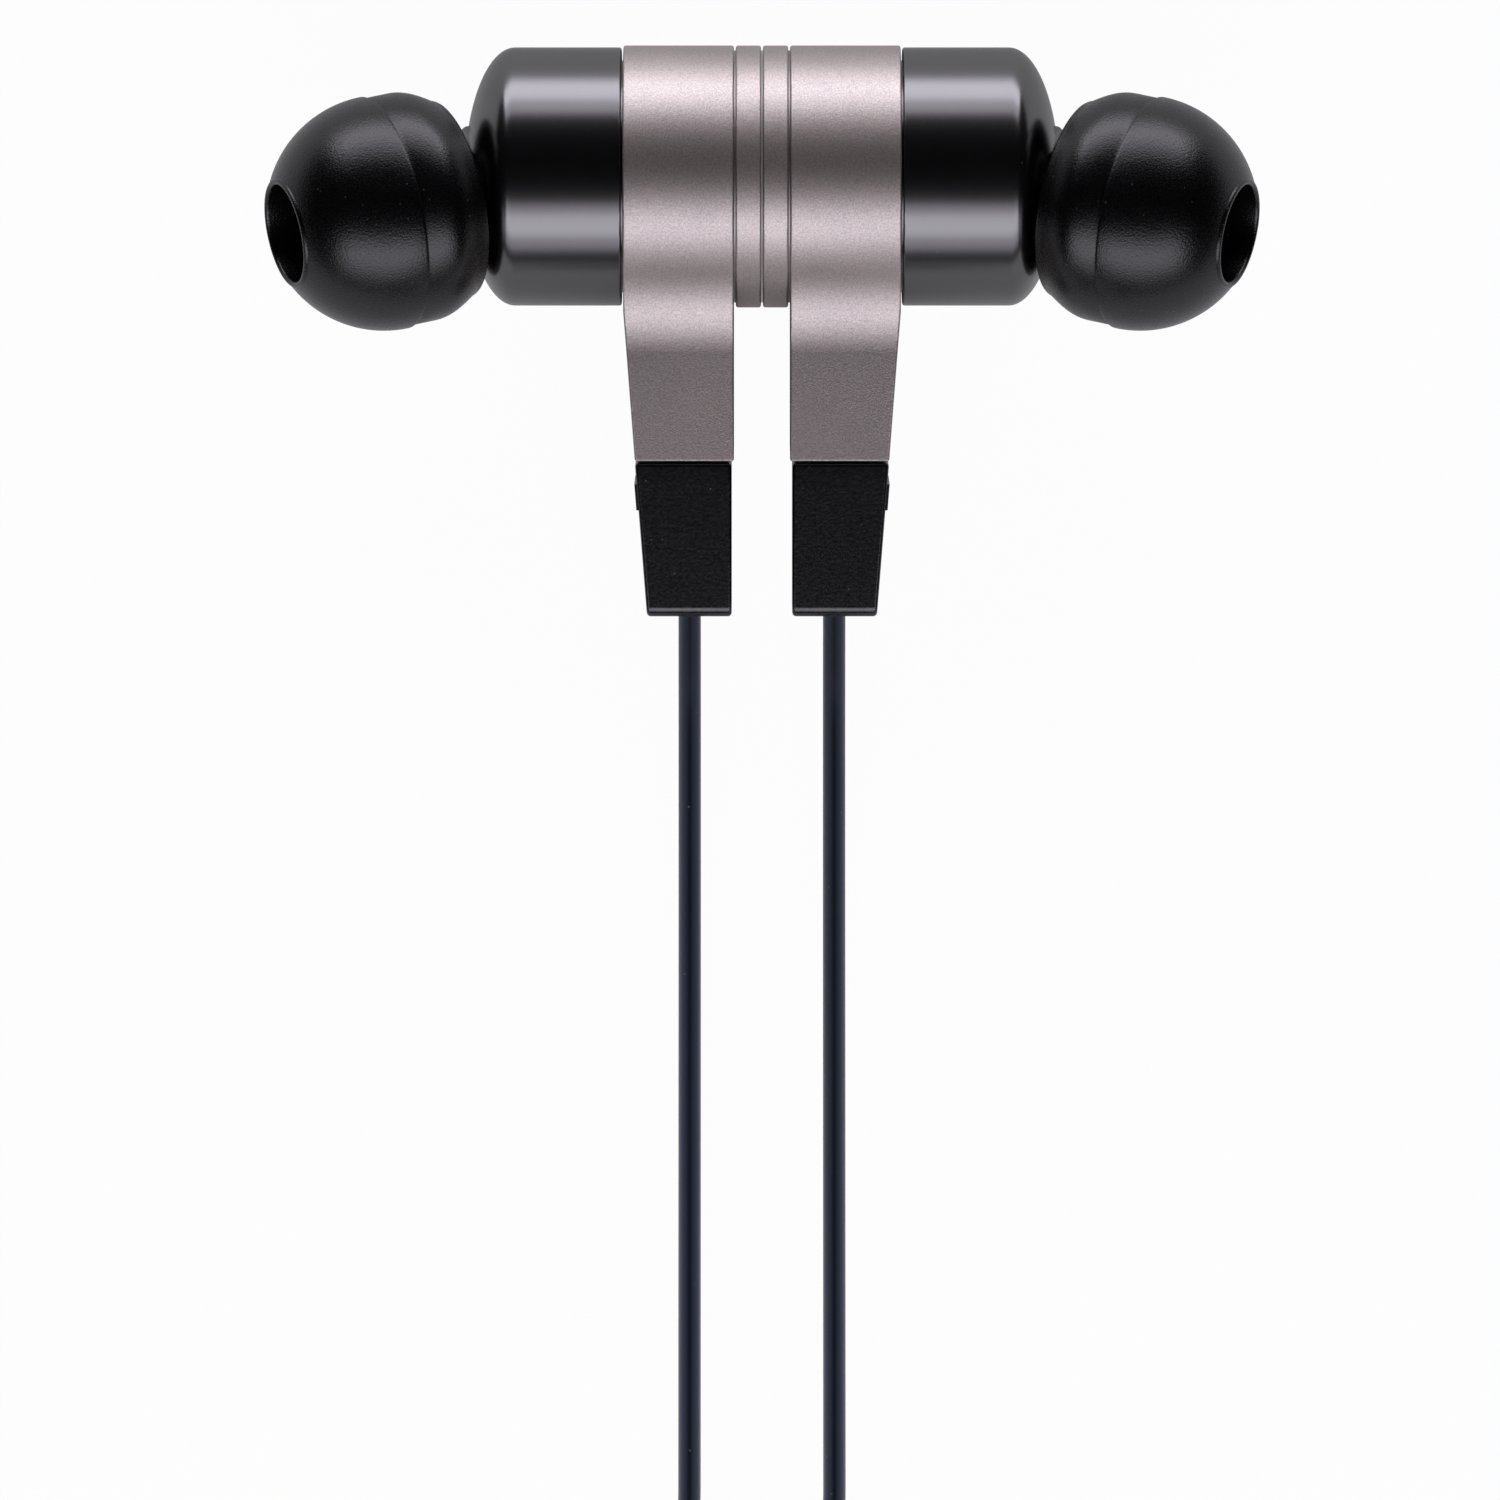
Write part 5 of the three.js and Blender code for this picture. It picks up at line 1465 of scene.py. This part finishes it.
CONTACT_EDGE = 0.05
WAIST_FROM, WAIST_TO = 0.12, 0.52
WAIST_RADIUS = 1.2
WAIST_STEPS, NOSE_STEPS = 16, 12
NOSE_FROM = 0.56


# %% Turn the plug's relief and grip
def plug_relief():
    """A cone of rubber round the cord, ribbed so that it bends."""
    outline = [(0, CORD_RADIUS + CORD_PLAY)]
    steps = RELIEF_RIBS * RIB_STEPS
    for step in range(steps + 1):
        share = step / steps
        radius = RELIEF_FROM_RADIUS + (RELIEF_TO_RADIUS - RELIEF_FROM_RADIUS) * share
        rib = max(0, math.sin(share * RELIEF_RIBS * math.tau)) * RIB_DEPTH * (1 - share)
        outline.append((RELIEF_LENGTH * share, radius - rib))
    outline += [(RELIEF_LENGTH, CORD_RADIUS + CORD_PLAY)]
    return turned(outline, steps=NARROW_STEPS)


def plug_shell():
    """The metal grip, with rings for the fingers and a bore for the pin."""
    bore = PIN_RADIUS + SHELL_PLAY
    floor_at = SLEEVE_FROM - SHELL_PLAY
    outline = [(SHELL_FROM, 0), (SHELL_FROM, SHELL_RADIUS), (SHELL_FROM + GRIP_SHOULDER, SHELL_RADIUS)]
    for ring in range(GRIP_RINGS):
        start = SHELL_FROM + GRIP_FROM + ring * GRIP_PITCH
        outline += [(start + along, SHELL_RADIUS - depth) for along, depth in GRIP_GROOVE]
    outline += [(SHELL_TO, SHELL_RADIUS), (SHELL_TO, bore), (floor_at, bore), (floor_at, 0)]
    shape = turned(outline, closed=False, steps=NOZZLE_STEPS)

    def at_an_end(edge):
        return any(abs(edge.verts[0].co.x - end) < 0.01 for end in (SHELL_FROM, SHELL_TO))

    soften(shape, SHELL_CHAMFER, 3, chosen=lambda edge: near_rim(edge, SHELL_RADIUS) and at_an_end(edge))
    return shape


# %% Turn the plug's pin
def pin_ring(span, radius=PIN_RADIUS):
    """A contact or insulator of the pin: a tube between two places along it."""
    outline = [(span[0], ROD_BORE), (span[0], radius), (span[1], radius), (span[1], ROD_BORE)]
    shape = turned(outline, steps=NARROW_STEPS)
    soften(shape, CONTACT_EDGE, 2, chosen=lambda edge: near_rim(edge, radius))
    return shape


def plug_tip():
    """The tip contact on its rod, which runs back through the rings."""
    start, end = TIP_CONTACT
    length = end - start
    outline = [(SLEEVE_FROM, 0), (SLEEVE_FROM, ROD_RADIUS), (start, ROD_RADIUS)]
    outline += [(start, PIN_RADIUS - CONTACT_EDGE), (start + CONTACT_EDGE, PIN_RADIUS)]
    outline += [(start + length * WAIST_FROM, PIN_RADIUS)]
    for step in range(1, WAIST_STEPS + 1):
        share = step / WAIST_STEPS
        along = start + length * (WAIST_FROM + (WAIST_TO - WAIST_FROM) * share)
        dip = math.sin(share * math.pi) ** 1.5
        outline.append((along, PIN_RADIUS - (PIN_RADIUS - WAIST_RADIUS) * dip))
    outline += [(start + length * NOSE_FROM, PIN_RADIUS)]
    for step in range(1, NOSE_STEPS):
        turn = math.radians(90) * step / NOSE_STEPS
        along = start + length * (NOSE_FROM + (1 - NOSE_FROM) * math.sin(turn))
        outline.append((along, PIN_RADIUS * math.cos(turn) ** 0.6))
    return turned(outline + [(end, 0)], closed=False, steps=NARROW_STEPS)


# %% Put the plug together
plug_shapes = {
    "plug_relief": ("strain_relief", plug_relief()),
    "plug_shell": ("plug_grip", plug_shell()),
    "plug_sleeve": ("sleeve_contact", pin_ring((SLEEVE_FROM, SLEEVE_TO))),
    "plug_rear_insulator": ("rear_insulator", pin_ring(REAR_INSULATOR, INSULATOR_RADIUS)),
    "plug_ring": ("ring_contact", pin_ring(RING_CONTACT)),
    "plug_front_insulator": ("front_insulator", pin_ring(FRONT_INSULATOR, INSULATOR_RADIUS)),
    "plug_tip": ("tip_contact", plug_tip()),
}
for node, (name, shape) in plug_shapes.items():
    piece = new_piece(name, shape, plug_place)
    stand_for(piece, node)

# %% [markdown]
# The trunk is the last cord to be declared, because its plug has to be there first.

# %% [markdown]
# ## Pieces inside the housings
#
# The driver, the magnets, the board and the wires are right as the frame holds them: plain turned,
# stamped or drawn pieces. They keep their meshes and only get their finishes.

# %% Finish the pieces inside
kept = [name for name, node in frame["nodes"].items() if not node.hide_render]
for name in kept:
    for material_slot in frame["nodes"][name].material_slots:
        material_slot.material = finishes[slots[name]]
print("kept from the frame:", len(kept))

# %% [markdown]
# ## Size of the object
#
# The looks must not make the object bigger, so the sizes of both boxes are printed side by side.

# %% Print the two boxes
new_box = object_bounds()
boxes = {"cad": [list(corner) for corner in cad_box], "visual": [list(corner) for corner in new_box]}
for label, (low, high) in boxes.items():
    print(label, [round((b - a) / MM, 2) for a, b in zip(low, high)], "mm")
